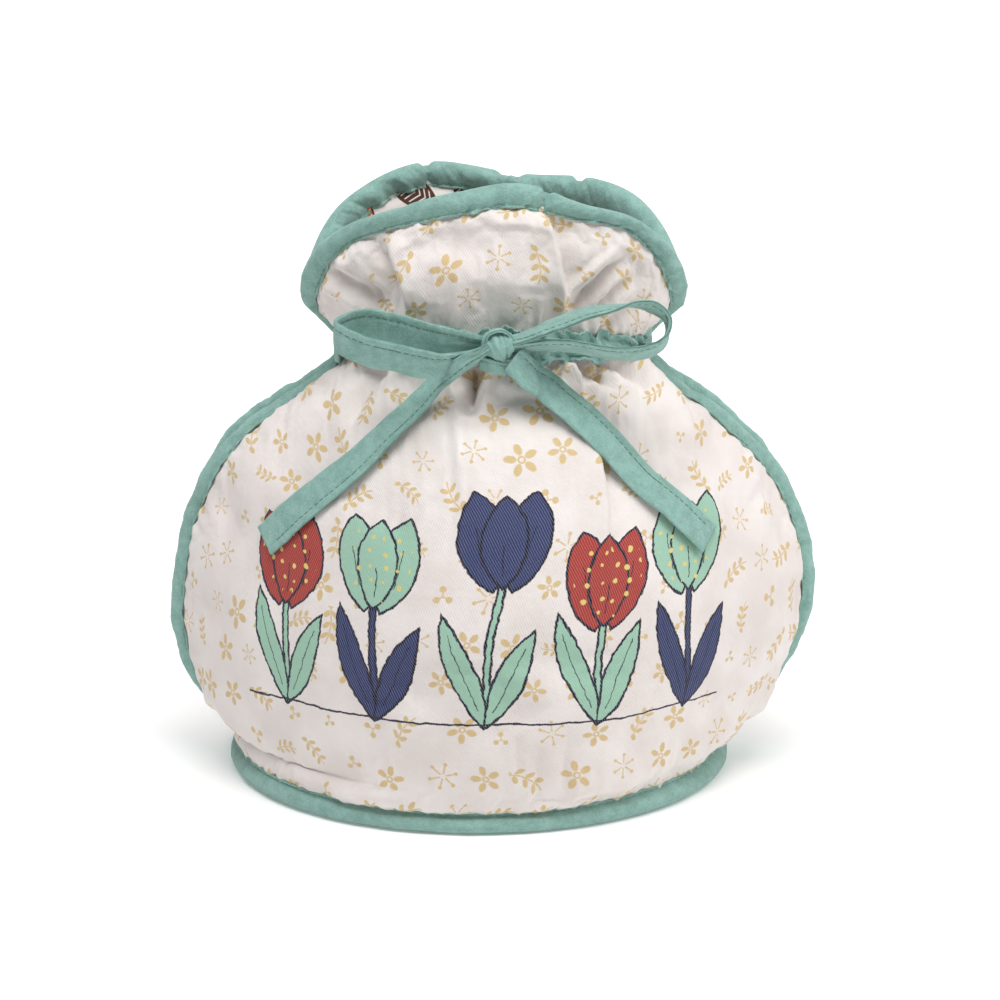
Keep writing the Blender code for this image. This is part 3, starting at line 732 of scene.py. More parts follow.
print("material helpers ready")

# %% [markdown]
# ## Green plain-weave cotton
#
# Bindings, casing and tape are one green cotton. Up close it is a plain weave with
# uneven dye: deeper patches a few millimetres wide, and pale specks where the surface is
# rubbed. Both are noise on the flat cloth, and the weave is two crossed waves. Its hollows
# are painted a little darker, as painted shade.

# %% The green cotton
THREAD_PITCH = 0.42
GREEN = linear(157, 200, 190)
GREEN_DEEP = linear(120, 167, 156)
GREEN_PALE = linear(198, 225, 218)


def plain_weave(x, y):
    turn = 2 * math.pi / THREAD_PITCH
    return wave(x * turn) * wave(y * turn)


def green_cotton():
    cloth = Cloth("green_cotton", roughness=0.86, sheen=0.30)
    drift = clouds(cloth.place, 0.5) * 1.2
    weave = plain_weave(cloth.x + drift * 0.2, cloth.y + drift * 0.2)
    patches = clouds(cloth.place, 0.22, detail=6.0, roughness=0.70)
    grain = clouds(cloth.place, 1.9, detail=3.0, roughness=0.7)
    colour = mixed(step_at(patches, 0.5, 0.16) * 0.75, GREEN, GREEN_DEEP)
    colour = mixed(step_at(grain, 0.44, 0.14) * 0.42, colour, GREEN_PALE)
    # painted shade: the colour darkens towards the hollows of the weave
    colour = mixed((weave * -0.5 + 0.5) * 0.18, colour, GREEN_DEEP)
    cloth.bump(weave * 0.5 + 0.5, 0.09 * MM)
    cloth.bump(grain, 0.30 * MM)
    cloth.bump(clouds(cloth.place, 0.35, detail=3.0), 0.45 * MM)
    return cloth.finish(colour)


# The thread's colour runs from dark in the grooves of its twist to pale on its crests, following
# the bump: painted shade in the grooves and a painted highlight on the crests.
def thread_finish(name, dark, light):
    cloth = Cloth(name, roughness=0.7, sheen=0.3)
    twist = wave((cloth.x * 0.7 + cloth.y) * 14.0)
    cloth.bump(twist * 0.5 + 0.5, 0.06 * MM)
    return cloth.finish(mixed(twist * 0.5 + 0.5, linear(*dark), linear(*light)))


GREEN_COTTON = green_cotton()
TAPE_THREAD = thread_finish("tape_thread", (82, 116, 106), (116, 154, 143))
SEAM_THREAD = thread_finish("seam_thread", (112, 150, 138), (150, 186, 172))
print("green cotton nodes:", len(GREEN_COTTON.node_tree.nodes))

# %% [markdown]
# ## Drawing with distances
#
# A print needs crisp edges at any zoom. Each motif is therefore written as a distance: how
# far a point of the cloth lies outside the motif's edge, negative within it. A soft step
# turns that into ink, and a band round zero into an outline.

# %% Distances to simple motifs, in millimetres
def turned(x, y, angle):
    """The same place measured from axes turned by a fixed angle."""
    c, s = math.cos(angle), math.sin(angle)
    return x * c + y * s, y * c - x * s


def turned_by(x, y, angle):
    """The same for an angle that the shader works out."""
    c, s = maths("COSINE", angle), wave(angle)
    return x * c + y * s, y * c - x * s


def oval(x, y, half_length, half_width):
    return (length_of(x / half_length, y / half_width) - 1.0) * half_width


def leaf(x, y, half_length, half_width):
    """A shape with two pointed ends on the y axis, between two arcs."""
    radius = (half_length**2 + half_width**2) / (2 * half_width)
    return length_of(abs(x) + (radius - half_width), y) - radius


def bar(x, y, half_length, half_width):
    return most(abs(x) - half_length, abs(y) - half_width)


def spokes(x, y, count):
    """Fold the plane so that one drawn spoke along x appears count times round."""
    sector = 2 * math.pi / count
    angle = maths("ARCTAN2", y, x)
    angle = angle - maths("ROUND", angle / sector) * sector
    far = length_of(x, y)
    return far * maths("COSINE", angle), far * wave(angle)


def ink(distance, soft=0.14):
    return step_at(distance, 0.0, soft)


def between(number, low, high):
    """1 where number is between two values, else 0."""
    return maths("GREATER_THAN", number, low) * maths("LESS_THAN", number, high)


print("motif helpers ready")

# %% [markdown]
# ## The scattered print
#
# The ground has small ochre motifs strewn over it, none alike in size or turn. The cloth
# is divided into cells in staggered rows. Each cell throws dice for a shift, a turn, a
# size and one of four plain motifs: a blossom, a sprig, a star or three berries.

# %% Strewn motifs
SCATTER_PITCH = 15.5
SCATTER_SHIFT = 5.0
FULL_TURN = 6.2832
NOT_CHOSEN = 9.0


def strewn(x, y, seed):
    """Distance to the nearest strewn motif."""
    row = whole(y / SCATTER_PITCH)
    x = x + maths("FLOORED_MODULO", row, 2.0) * (SCATTER_PITCH / 2)
    column = whole(x / SCATTER_PITCH)
    shift_x, shift_y, turn = dice(column, row, seed)
    kind, size, _ = dice(column, row, seed + 7.0)
    x = x - (column + 0.5) * SCATTER_PITCH - (shift_x - 0.5) * SCATTER_SHIFT
    y = y - (row + 0.5) * SCATTER_PITCH - (shift_y - 0.5) * SCATTER_SHIFT
    x, y = turned_by(x, y, turn * FULL_TURN)
    size = size * 0.5 + 0.92
    x, y = x / size, y / size
    petal_x, petal_y = spokes(x, y, 5)
    ring = abs(length_of(x, y) - 0.75) - 0.26
    blossom = least(oval(petal_x - 2.7, petal_y, 1.55, 0.95), ring)
    bend = y - x * x * 0.05 + 0.5
    pair = x - maths("ROUND", x / 2.6) * 2.6
    leaf_x, leaf_y = turned(pair, abs(bend) - 1.25, -0.9)
    leaves = most(oval(leaf_y, leaf_x, 0.62, 1.25), abs(x) - 3.6)
    sprig = least(bar(x, bend, 4.6, 0.2), leaves, length_of(x - 4.9, bend) - 0.85)
    ray_x, ray_y = spokes(x, y, 6)
    star = least(bar(ray_x - 2.0, ray_y, 1.3, 0.2), length_of(ray_x - 3.3, ray_y) - 0.5)
    berry_x, berry_y = spokes(x, y, 3)
    stalk = bar(berry_x - 0.8, berry_y, 0.8, 0.18)
    berries = least(length_of(berry_x - 1.7, berry_y) - 0.8, stalk)
    motifs = ((blossom, 0.0, 0.34), (sprig, 0.34, 0.64), (star, 0.64, 0.84), (berries, 0.84, 1.0))
    chosen = [
        shape + (1.0 - between(kind, low, high)) * NOT_CHOSEN for shape, low, high in motifs
    ]
    return least(*chosen) * size


print("cells of the strewn print:", SCATTER_PITCH, "mm")

# %% [markdown]
# ## The row of tulips
#
# A picture in brick red, navy and mint fills the middle of each panel. Here it is a row of
# five tulips, drawn with a dark pen line over flat colour as a hand-drawn print would be.
# All five are one drawing in a folded plane, and the number of the fold picks the height,
# the lean and the colours. Noise added to the place makes the pen shake a little.

# %% Tulips
TULIP_PITCH = 37.0
TULIP_GROUND = 42.0
OUTER_TULIP = 2
DOT_PITCH = 5.2
BRICK = linear(170, 60, 53)
NAVY = linear(50, 62, 106)
MINT = linear(158, 200, 178)
PEN = linear(24, 26, 50)
STAR_YELLOW = linear(226, 205, 120)


def tulips(cloth, colour):
    """The ground colour with the row of tulips printed over it."""
    shake = (clouds(cloth.place, 0.30) - 0.5) * 1.6 + (clouds(cloth.place, 1.4) - 0.5) * 0.4
    x = cloth.x + shake
    y = cloth.y - TULIP_GROUND + (clouds(cloth.place, 0.25) - 0.5) * 1.4
    number = least(most(maths("ROUND", x / TULIP_PITCH), -OUTER_TULIP), OUTER_TULIP)
    x = x - number * TULIP_PITCH
    head_at = maths("COSINE", number * 2.2 + 0.4) * 8.0 + 41.0
    lean = wave(number * 1.7 + 1.0) * 3.2
    pen_width = (clouds(cloth.place, 0.8) - 0.5) * 0.5 + 0.42

    def pen(distance):
        return ink(abs(distance) - pen_width)

    kind = maths("FLOORED_MODULO", number + OUTER_TULIP, 3.0)
    is_mint, is_navy = between(kind, 0.5, 1.5), between(kind, 1.5, 2.5)
    head = mixed(is_navy, mixed(is_mint, BRICK, MINT), NAVY)
    green = mixed(is_mint, MINT, NAVY)

    stem_line = x - lean * (y / head_at) * (y / head_at)
    stem = bar(y - head_at / 2, stem_line, head_at / 2, 1.15)
    leaf_x, leaf_y = turned(abs(x) - 7.6, y - 16.5 + x * 0.16, -0.40)
    blade = leaf(leaf_x, leaf_y, 19.5, 4.6)
    rib = bar(leaf_y, leaf_x, 13.0, 0.16)
    head_x, head_y = x - lean, y - head_at + 1.5
    side_x, side_y = turned(abs(head_x) - 6.6, head_y - 14.0, -0.22)
    side_petal = leaf(side_x, side_y, 16.5, 8.2)
    mid_petal = leaf(head_x, head_y - 14.0, 15.0, 7.4)
    vein = bar(head_y - 8.0, head_x, 5.0, 0.2)
    side_vein = bar(side_y + 1.0, side_x - 1.8, 6.5, 0.16)

    for distance, paint in ((stem, green), (blade, green), (side_petal, head), (mid_petal, head)):
        colour = mixed(ink(distance), colour, paint)
        colour = mixed(pen(distance), colour, PEN)
        if distance is blade:
            colour = mixed(ink(rib), colour, PEN)
        if distance is side_petal:
            colour = mixed(ink(side_vein), colour, PEN)
    colour = mixed(ink(vein), colour, PEN)

    dot_row, dot_column = whole(head_y / DOT_PITCH), whole(head_x / DOT_PITCH)
    dot_dice = dice(dot_column, dot_row, number)
    dot_x = head_x - (dot_column + 0.3 + dot_dice[0] * 0.4) * DOT_PITCH
    dot_y = head_y - (dot_row + 0.3 + dot_dice[1] * 0.4) * DOT_PITCH
    dots = length_of(dot_x, dot_y) - (dot_dice[2] * 0.5 + 0.5)
    within = ink(least(side_petal, mid_petal) + 2.2) * (1.0 - is_navy)
    colour = mixed(ink(dots) * within, colour, STAR_YELLOW)
    grass = bar(cloth.x, y, 92.0, 0.35)
    colour = mixed(ink(grass), colour, PEN)
    return colour


TULIP_COUNT = 2 * OUTER_TULIP + 1
print("tulips:", TULIP_COUNT, "in a row of", TULIP_PITCH * TULIP_COUNT, "mm")

# %% [markdown]
# ## Printed cotton twill
#
# The outer cloth is a cotton twill: fine steep ribs that fall to the right. They catch the
# light as bump, and they break up the ink a little, because ink stays on the ribs and
# leaves the valleys paler. In patches the valleys are also painted a little darker, as
# painted shade. The ground is a warm off-white with hardly visible clouds.

# %% The printed cotton
TWILL_PITCH = 0.78
CREAM = linear(240, 233, 230)
# a darker cream, used for the ground's faint clouds and for painted shade in the twill's valleys
CREAM_CLOUDS_AND_SHADE = linear(230, 221, 217)
OCHRE = linear(214, 184, 122)


def printed_cotton():
    cloth = Cloth("printed_cotton", roughness=0.9, sheen=0.12)
    drift = clouds(cloth.place, 0.25) * 0.5
    ribs = wave((cloth.x * 0.87 + cloth.y * 0.5 + drift) * (2 * math.pi / TWILL_PITCH))
    wear = clouds(cloth.place, 1.3, detail=3.0)
    colour = mixed(step_at(clouds(cloth.place, 0.05, detail=4.0), 0.5, 0.2), CREAM, CREAM_CLOUDS_AND_SHADE)
    bare = colour
    shaken = (clouds(cloth.place, 0.9) - 0.5) * 0.5
    motifs = strewn(cloth.x + shaken, cloth.y + shaken, 3.0)
    colour = mixed(ink(motifs, 0.2) * (wear * 0.3 + 0.72), colour, OCHRE)
    colour = tulips(cloth, colour)
    patchy = clouds(cloth.place, 0.12, detail=3.0)
    gaps = step_at(ribs, -0.35, 0.5) * wear * 0.14
    colour = mixed(gaps, colour, bare)
    # painted shade: the twill's valleys are darkened in patches
    colour = mixed(step_at(ribs, -0.4, 0.6) * patchy * 0.12, colour, CREAM_CLOUDS_AND_SHADE)
    cloth.bump((ribs * 0.5 + 0.5) * patchy, 0.11 * MM)
    cloth.bump(clouds(cloth.place, 0.5, detail=3.0), 0.25 * MM)
    return cloth.finish(colour)


PRINTED_COTTON = printed_cotton()
print("printed cotton nodes:", len(PRINTED_COTTON.node_tree.nodes))

# %% [markdown]
# ## The lining's print
#
# The lining is a plain-weave cotton with a bold print of its own in orange and dark brown
# on white. It shows inside the collar and through the slits. Large turned leaves in cells,
# some orange and some brown, with white ribs and a brown outline, give it its bold look.

# %% The lining cotton
LINING_PITCH = 21.0
ORANGE = linear(214, 112, 62)
BROWN = linear(88, 58, 44)
LINING_WHITE = linear(236, 230, 226)


def lining_cotton():
    cloth = Cloth("lining_cotton", roughness=0.9, sheen=0.1)
    row, column = whole(cloth.y / LINING_PITCH), whole(cloth.x / LINING_PITCH)
    shift, turn, kind = dice(column, row, 5.0)
    x = cloth.x - (column + 0.42 + shift * 0.16) * LINING_PITCH
    y = cloth.y - (row + 0.5) * LINING_PITCH
    x, y = turned_by(x, y, turn * FULL_TURN)
    body = leaf(x, y, 10.5, 4.6)
    ribs = bar(y - maths("ROUND", (y + abs(x) * 0.8) / 2.4) * 2.4 + abs(x) * 0.8, x, 0.3, 9.0)
    paint = mixed(maths("GREATER_THAN", kind, 0.45), BROWN, ORANGE)
    colour = mixed(ink(body), LINING_WHITE, paint)
    colour = mixed(ink(ribs) * ink(body + 0.8), colour, LINING_WHITE)
    colour = mixed(ink(abs(body) - 0.4), colour, BROWN)
    weave = plain_weave(cloth.x, cloth.y)
    cloth.bump(weave * 0.5 + 0.5, 0.07 * MM)
    cloth.bump(clouds(cloth.place, 0.3, detail=3.0), 0.3 * MM)
    return cloth.finish(colour)


LINING_COTTON = lining_cotton()
print("lining cotton nodes:", len(LINING_COTTON.node_tree.nodes))

# %% [markdown]
# ## Creases and pleats
#
# On top of the broad gathers lie the sharp ones. A valley is a narrow groove between two
# plump folds. A pleat is a step, where one fold lies over its neighbour. Each is a short
# line on the cloth, given by points (across, millimetres below the neck), and fades away
# at both ends. Those above the neck have negative values.

# %% The creases of the front: (kind, depth, half-width, points)
FRONT_CREASES = (
    ("valley", 3.4, 2.2, ((-0.7, -56), (-0.65, -45.9), (-0.607, -37.8), (-0.56, -29.8),
        (-0.5, -18))),
    ("valley", 2, 1.7, ((-0.59, -50), (-0.55, -37.3), (-0.51, -28), (-0.48, -18))),
    ("pleat", -2.8, 4.6, ((-0.4, -54), (-0.392, -42.6), (-0.382, -35), (-0.372, -26.5),
        (-0.372, -12))),
    ("valley", 1.2, 2.6, ((-0.425, -58), (-0.428, -45.9), (-0.4, -34))),
    ("pleat", 3.4, 6, ((0.15, -68), (0.178, -52), (0.22, -46.3), (0.253, -39.7), (0.279, -32.6),
        (0.306, -26), (0.318, -20), (0.335, -8))),
    ("valley", 3.2, 2, ((0.53, -49), (0.494, -42.6), (0.448, -35), (0.402, -26.9),
        (0.369, -19.4), (0.362, -8))),
    ("valley", 2.4, 1.7, ((0.57, -40), (0.527, -33.1), (0.478, -24.6), (0.438, -17.5),
        (0.41, -8))),
    ("valley", 1.6, 2.2, ((0.52, -8), (0.56, -16), (0.663, -31.2), (0.72, -38))),
    ("valley", 5.4, 2.1, ((-0.078, 3), (-0.079, 14.3), (-0.08, 20), (-0.082, 31))),
    ("valley", 1.5, 1.4, ((-0.125, 8), (-0.134, 19), (-0.14, 25))),
    ("valley", 2.4, 4, ((-0.55, 3), (-0.55, 14.3), (-0.547, 22.8), (-0.517, 31.3), (-0.49, 43))),
    ("valley", 1.4, 1.8, ((-0.395, 4), (-0.385, 13.3), (-0.365, 20))),
    ("valley", 2.4, 1.8, ((0.235, 0), (0.243, 4), (0.259, 8), (0.266, 13))),
    ("valley", 2.2, 1.8, ((0.3, -2), (0.309, 3), (0.325, 6.6), (0.339, 12))),
    ("pleat", 2.4, 5, ((0.32, 0), (0.345, 6), (0.368, 11.4), (0.378, 17.1), (0.362, 27))),
    ("valley", 3.6, 2.2, ((0.395, -2), (0.408, 4.3), (0.441, 11), (0.49, 16.2), (0.51, 25))),
    ("valley", 3.4, 2.4, ((0.45, -2), (0.474, 5.3), (0.56, 10.5), (0.63, 17.6), (0.64, 28))),
    ("pleat", 1.9, 5.5, ((0.352, 20), (0.352, 29.9), (0.342, 34.6), (0.326, 41.3),
        (0.306, 47.9), (0.29, 56.4), (0.276, 68), (0.27, 80), (0.268, 94))),
    ("valley", 1, 3, ((0.09, -2), (0.11, 12), (0.13, 26))),
    ("valley", 1.2, 3, ((-0.215, 2), (-0.23, 14), (-0.25, 34))),
    ("valley", 2.8, 4.2, ((-1.06, 166), (-0.95, 160), (-0.86, 152), (-0.78, 148))),
    ("valley", 2.4, 4, ((1.06, 168), (0.95, 161), (0.86, 154), (0.79, 151))),
)


def back_creases():
    """A set of its own for the back, strewn evenly with a seed."""
    rng = np.random.default_rng(11)
    made = []
    for k, place in enumerate(np.linspace(-0.66, 0.66, 13)):
        place += rng.uniform(-0.03, 0.03)
        drift = rng.uniform(-0.05, 0.05) + place * 0.12
        down, up = rng.uniform(14, 44), rng.uniform(12, 46)
        kind = "pleat" if k % 5 == 2 else "valley"
        depth, width = rng.uniform(1.2, 2.8), rng.uniform(1.7, 3.6)
        points = ((place + drift, down), (place + drift * 0.4, down / 2), (place, 0.0))
        points += ((place + drift * 0.5, -up / 2), (place + drift, -up))
        made.append((kind, depth, width, points))
    return tuple(made)


CREASES = {"front": FRONT_CREASES, "back": back_creases()}
# All creases are deepened by the first factor, and near the neck by the second as well
DEEPER, DEEPER_AT_NECK, NECK_REACH = 1.35, 0.65, 18 * MM


def flat_places(shape, v, s):
    """Where the cloth at v and s lies when the panel is spread flat, in metres."""
    return np.stack([s * shape.half_at(v), v], axis=-1)


def creased(shape, v, s):
    """How far the creases push the cloth in or out at v and s, in metres."""
    here = flat_places(shape, v, s)
    push = np.zeros(v.shape)
    deeper = DEEPER + DEEPER_AT_NECK * np.exp(-np.abs(v - shape.neck) / NECK_REACH)
    for kind, depth, width, points in CREASES[shape.name]:
        points = np.array(points)
        line = flat_places(shape, shape.neck - points[:, 1] * MM, points[:, 0])
        along = lengths_along(line)
        least_away = np.full(v.shape, np.inf)
        side, share = np.zeros(v.shape), np.zeros(v.shape)
        for k in range(len(line) - 1):
            way = line[k + 1] - line[k]
            t = np.clip(((here - line[k]) @ way) / (way @ way), 0, 1)
            apart = here - line[k] - t[..., None] * way
            away = np.linalg.norm(apart, axis=-1)
            nearer = away < least_away
            least_away = np.where(nearer, away, least_away)
            cross = way[0] * apart[..., 1] - way[1] * apart[..., 0]
            side = np.where(nearer, np.sign(cross) * np.sign(way[1]), side)
            at = (along[k] + t * (along[k + 1] - along[k])) / along[-1]
            share = np.where(nearer, at, share)
        fade = ease(share * 3.2) * ease((1 - share) * 2.4) * deeper
        far = least_away / (width * MM)
        if kind == "valley":
            groove = np.exp(-(far**1.25)) - 0.30 * bell(far, 2.2, 1.0)
            push -= depth * MM * fade * groove
        else:
            rise = np.tanh(far * 5.0) * np.exp(-far * 0.8)
            push += depth * MM * fade * side * rise
    return push


print("creases:", {name: len(lines) for name, lines in CREASES.items()})

# %% [markdown]
# ## The padded panels
#
# Each panel is cotton over wadding. The outer face is plump in the middle and pressed flat
# where the binding and the hem hold it. Beside those seams it puckers, because the thread
# draws the cloth up a little, and some slack hangs beside the low end of each slit. The
# mesh is laid out on the smooth shape and moved straight out of it by the padding, the
# puckers and the creases. How the wadding swells between its seams is left to the cloth
# simulation: a coarse copy is blown up a little, and its swelling is added to the mesh.

# %% Lay out and build the panels
PANEL_ROWS = 221
PANEL_COLUMNS = 261
PANEL_FOOT = 2.8 * MM
HEM_TOP = 8.0 * MM
BINDING_WIDTH = 8.0 * MM
EDGE_INSET = 3.8 * MM
EDGE_REACH = 16.0 * MM
PAD_OUT, PAD_IN = 3.5 * MM, -2.0 * MM
PRESSED_OUT, PRESSED_IN = 1.1 * MM, -0.6 * MM
PAD_RAMP = 6.0 * MM
LEAST_THICK = 1.7 * MM
SURFACE_DEPTH = 1.6 * MM
CREASE_STRENGTH = 1.15
SEAM_HEIGHT = 9.5 * MM
POUCH = {"left": 0.9 * MM, "right": 2.2 * MM}
POUCH_HEIGHT, POUCH_REACH = 29.0 * MM, 15.0 * MM
CALM, CALM_REACH, CALM_HEIGHT = 0.85, 15 * MM, 26 * MM
NECK_HOLD, LEAST_HOLD, LET_GO = 7.0 * MM, 0.04, 1.6
OVERSIZE, PRESSURE, SWELL_FRAMES = 0.035, 1.5, 16
SWELL_CAP = 2.6 * MM
SLIT_TUCK = 13.0 * MM
UNDER_CASING, CASED_OUT, FREE_OUT = 8.5 * MM, 3.6 * MM, 20 * MM
HEM_LIP = 9.0 * MM
HEM_DIP = 0.19
SIDE_BAND = 8.2 * MM
RIM_FOOT = 178 * MM
# Along the rim, in millimetres: (x, where the binding begins, where it ends)
RIM_BANDS = {
    "front": (
        (-64, 0.0, 9.4), (-57, 0.0, 7.6), (-48, 0.0, 6.9), (-37, 1.4, 8.2), (-24, 2.0, 10.0),
        (-10, 2.0, 10.6), (4, 0.9, 9.8), (18, 0.8, 9.6), (26, 1.2, 8.6), (37, 0.2, 5.9),
        (47, 0.0, 5.6), (58, 0.0, 6.8), (66, 0.0, 9.0),
    ),
    "back": (
        (-70, 0.0, 9.6), (0, 0.0, 9.6), (18, 0.0, 11.0), (28, 0.0, 12.6), (58, 0.0, 12.6),
        (70, 0.0, 9.6),
    ),
}


def band_of(shape, places):
    """Where the binding begins and ends beside an edge place, as distances in from the edge."""
    x, starts, ends = np.array(RIM_BANDS[shape.name]).T * MM
    on_rim = ease((places[..., 2] - RIM_FOOT) / (12 * MM))
    along_x = places[..., 0]
    start = np.interp(along_x, x, starts) * on_rim
    end = SIDE_BAND + (np.interp(along_x, x, ends) - SIDE_BAND) * on_rim
    return start, end, on_rim


def hem_share(s):
    """The hem is sewn a little lower in the middle of each panel than at its sides."""
    return 1 - HEM_DIP * (1 - ease(np.abs(s) / 0.8))


def drawn_in(shape, edge, v, s):
    """Places moved in from the free edge so that the cloth ends inside its binding."""
    v, s = (np.array(x, float) for x in np.broadcast_arrays(v, s))
    points = shape.at(v, s)
    away, nearest = edge.nearest(points)
    free = ease((v - shape.v_at_height(SEAM_HEIGHT)) / (3.0 * MM))
    shift = EDGE_INSET * np.maximum(0.0, 1 - away / EDGE_REACH) * free
    for i, j in zip(*np.nonzero(shift > 1e-6)):
        moved = points[i, j] + edge.inward[nearest[i, j]] * shift[i, j]
        v[i, j], s[i, j] = shape.place(moved)
    narrower = SIDE_BAND - band_of(shape, edge.line)[1]
    return v, s, away + shift + narrower[nearest], edge.along[nearest]


def plumpness(distance, v, s):
    """0 where a seam presses the cloth flat, 1 where the wadding is full."""
    clear = np.minimum(distance - BINDING_WIDTH, (v - HEM_LIP * hem_share(s)) * 1.5)
    t = np.clip(clear / PAD_RAMP, 0.0, 1.0)
    return 1 - (1 - t) ** 2.3


def puckers(shape, distance, beside, v, s):
    """Small ripples that stand across the seams and fade away from them."""
    off_seam = np.clip(distance - BINDING_WIDTH, 0, None)
    across_edge = wander_line(beside, 3.6 * MM, 21) + 0.6 * wander_line(beside, 8.5 * MM, 22)
    ripple = 0.34 * MM * across_edge * np.exp(-off_seam / (5.5 * MM))
    u = s * shape.half_at(v)
    off_hem = np.clip(v - HEM_TOP, 0, None)
    across_hem = wander_line(u, 3.4 * MM, 23) + 0.8 * wander_line(u, 9.0 * MM, 24)
    return ripple + 0.30 * MM * across_hem * np.exp(-off_hem / (9.0 * MM))


def beside_slits(shape, edge, v, s):
    """1 well away from the feet of the slits, 0 at them, where the seam draws the cloth in."""
    points = shape.at(v, s)
    apart = [np.linalg.norm(points - foot, axis=-1) for foot in (edge.line[0], edge.line[-1])]
    return 1 - bell(np.minimum(*apart), 0.0, SLIT_TUCK)


def slackness(shape, v, s):
    """The gentle unevenness of wadding behind a hand-cut panel."""
    place = flat_places(shape, v, s)
    u = place[..., 0]
    seed = 31 if shape.side < 0 else 41
    broad = wander(place, 34 * MM, seed) * 0.9 + wander(place, 15 * MM, seed + 1) * 0.36
    near_neck = np.exp(-np.abs(v - shape.neck) / (26 * MM))
    tight = wander_line(u, 2.6 * MM, seed + 2) + 0.7 * wander_line(u, 5.5 * MM, seed + 3)
    return (broad + 0.42 * tight * near_neck) * MM


def lay_out(shape, edge, rows, columns):
    v = np.linspace(PANEL_FOOT, shape.top, rows)[:, None]
    s = np.linspace(-1.0, 1.0, columns)[None, :]
    return drawn_in(shape, edge, v, s)


def swollen(shape, outer, full):
    """How far wadding under pressure moves the cloth between its seams, in metres.

    A coarse copy of the panel is held at its seams and at the drawn-up neck, made a little
    too large for its place, and blown up by the cloth simulation for a few frames."""
    coarse = outer[::2, ::2]
    rows, columns = coarse.shape[:2]
    faces = grid_faces(rows, columns, 0)[:, :: -int(shape.side)].tolist()
    blown = put_in_scene("blown_up", mesh_of("blown_up", coarse.reshape(-1, 3), faces))
    neck = bell(np.linspace(PANEL_FOOT, shape.top, rows), shape.neck, NECK_HOLD)
    loose = (full[::2, ::2] * (1 - neck[:, None])).ravel()
    held = blown.vertex_groups.new(name="held")
    for index, share in enumerate(loose):
        held.add([index], max(LEAST_HOLD, 1.0 - float(share) * LET_GO), "REPLACE")
    cloth = blown.modifiers.new("cloth", "CLOTH")
    cloth.settings.vertex_group_mass = "held"
    cloth.settings.pin_stiffness = 1.0
    cloth.settings.quality = 6
    cloth.settings.mass = 0.15
    cloth.settings.tension_stiffness = 18.0
    cloth.settings.compression_stiffness = 18.0
    cloth.settings.shear_stiffness = 8.0
    cloth.settings.bending_stiffness = 0.25
    cloth.settings.shrink_min = -OVERSIZE
    cloth.settings.use_pressure = True
    cloth.settings.uniform_pressure_force = PRESSURE
    cloth.settings.effector_weights.gravity = 0.0
    for frame_number in range(1, SWELL_FRAMES + 1):
        bpy.context.scene.frame_set(frame_number)
    evaluated = blown.evaluated_get(bpy.context.evaluated_depsgraph_get())
    moved = np.empty(rows * columns * 3)
    evaluated.data.vertices.foreach_get("co", moved)
    bpy.context.scene.frame_set(1)
    bpy.data.objects.remove(blown)
    normals = np.cross(np.gradient(coarse, axis=1), np.gradient(coarse, axis=0))
    normals /= np.linalg.norm(normals, axis=2, keepdims=True) * -shape.side
    push = ((moved.reshape(coarse.shape) - coarse) * normals).sum(axis=2)
    print(f"swelling {shape.name}: {push.min() / MM:.1f} to {push.max() / MM:.1f} mm")
    push = SWELL_CAP * np.tanh(push / SWELL_CAP)
    fine = np.empty(full.shape)
    fine[::2, ::2] = push
    fine[1::2, ::2] = (push[:-1] + push[1:]) / 2
    fine[:, 1::2] = (fine[:, :-2:2] + fine[:, 2::2]) / 2
    return fine


def pouches(distance, v, s):
    """The slack that hangs beside the low end of each slit."""
    level = bell(v, POUCH_HEIGHT, POUCH_REACH)
    beside = bell(distance, 12 * MM, 10 * MM) * ease((distance - 7.0 * MM) / (4.0 * MM))
    return np.where(s < 0, POUCH["left"], POUCH["right"]) * level * beside


def calmness(distance, v):
    """1 where the wadding swells freely, less beside the low end of each slit."""
    beside = bell(distance, BINDING_WIDTH, CALM_REACH)
    return 1 - CALM * beside * bell(v, POUCH_HEIGHT, CALM_HEIGHT)


def add_panel(shape, edge):
    v, s, distance, beside = lay_out(shape, edge, PANEL_ROWS, PANEL_COLUMNS)
    full = plumpness(distance, v, s) * beside_slits(shape, edge, v, s)
    lively = (CREASE_STRENGTH * creased(shape, v, s) + slackness(shape, v, s)) * full
    push = PRESSED_OUT + (PAD_OUT - PRESSED_OUT) * full + lively
    push += puckers(shape, distance, beside, v, s) * ease((distance - 6 * MM) / (3 * MM))
    push += pouches(distance, v, s)
    sunk = np.minimum(0.0, lively + SURFACE_DEPTH)
    depth = PRESSED_IN + (PAD_IN - PRESSED_IN) * full + sunk
    push = np.maximum(push, depth + LEAST_THICK)
    push += swollen(shape, shape.at(v, s, push), full) * calmness(distance, v)
    clear_of_casing = ease((np.abs(v - shape.neck) - UNDER_CASING) / (6 * MM))
    push = np.minimum(push, CASED_OUT + FREE_OUT * clear_of_casing)
    push = np.maximum(push, depth + LEAST_THICK)
    outer = shape.at(v, s, push)
    inner = shape.at(v, s, depth)[::2, ::2]
    name = f"padded_{shape.name}"
    flat = flat_places(shape, v, s)
    piece = layer_piece(name, outer, inner, flat, PRINTED_COTTON, "printed_cotton")
    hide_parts(f"panel_{shape.name}")
    return v, s, full, depth, push


front_layout = add_panel(front, front_edge)
back_layout = add_panel(back, back_edge)

# %% [markdown]
# ## The linings
#
# Each panel has a lining of its own. It hangs slackly behind the wadding, is held only at
# the binding and the hem, and so has soft wrinkles. Inside the collar it can be seen. It
# is a thin layer a little behind the padded panel, wrinkled only away from it.

# %% Build the linings
LINING_THICK = 0.7 * MM
LAYER_GAP = 0.6 * MM


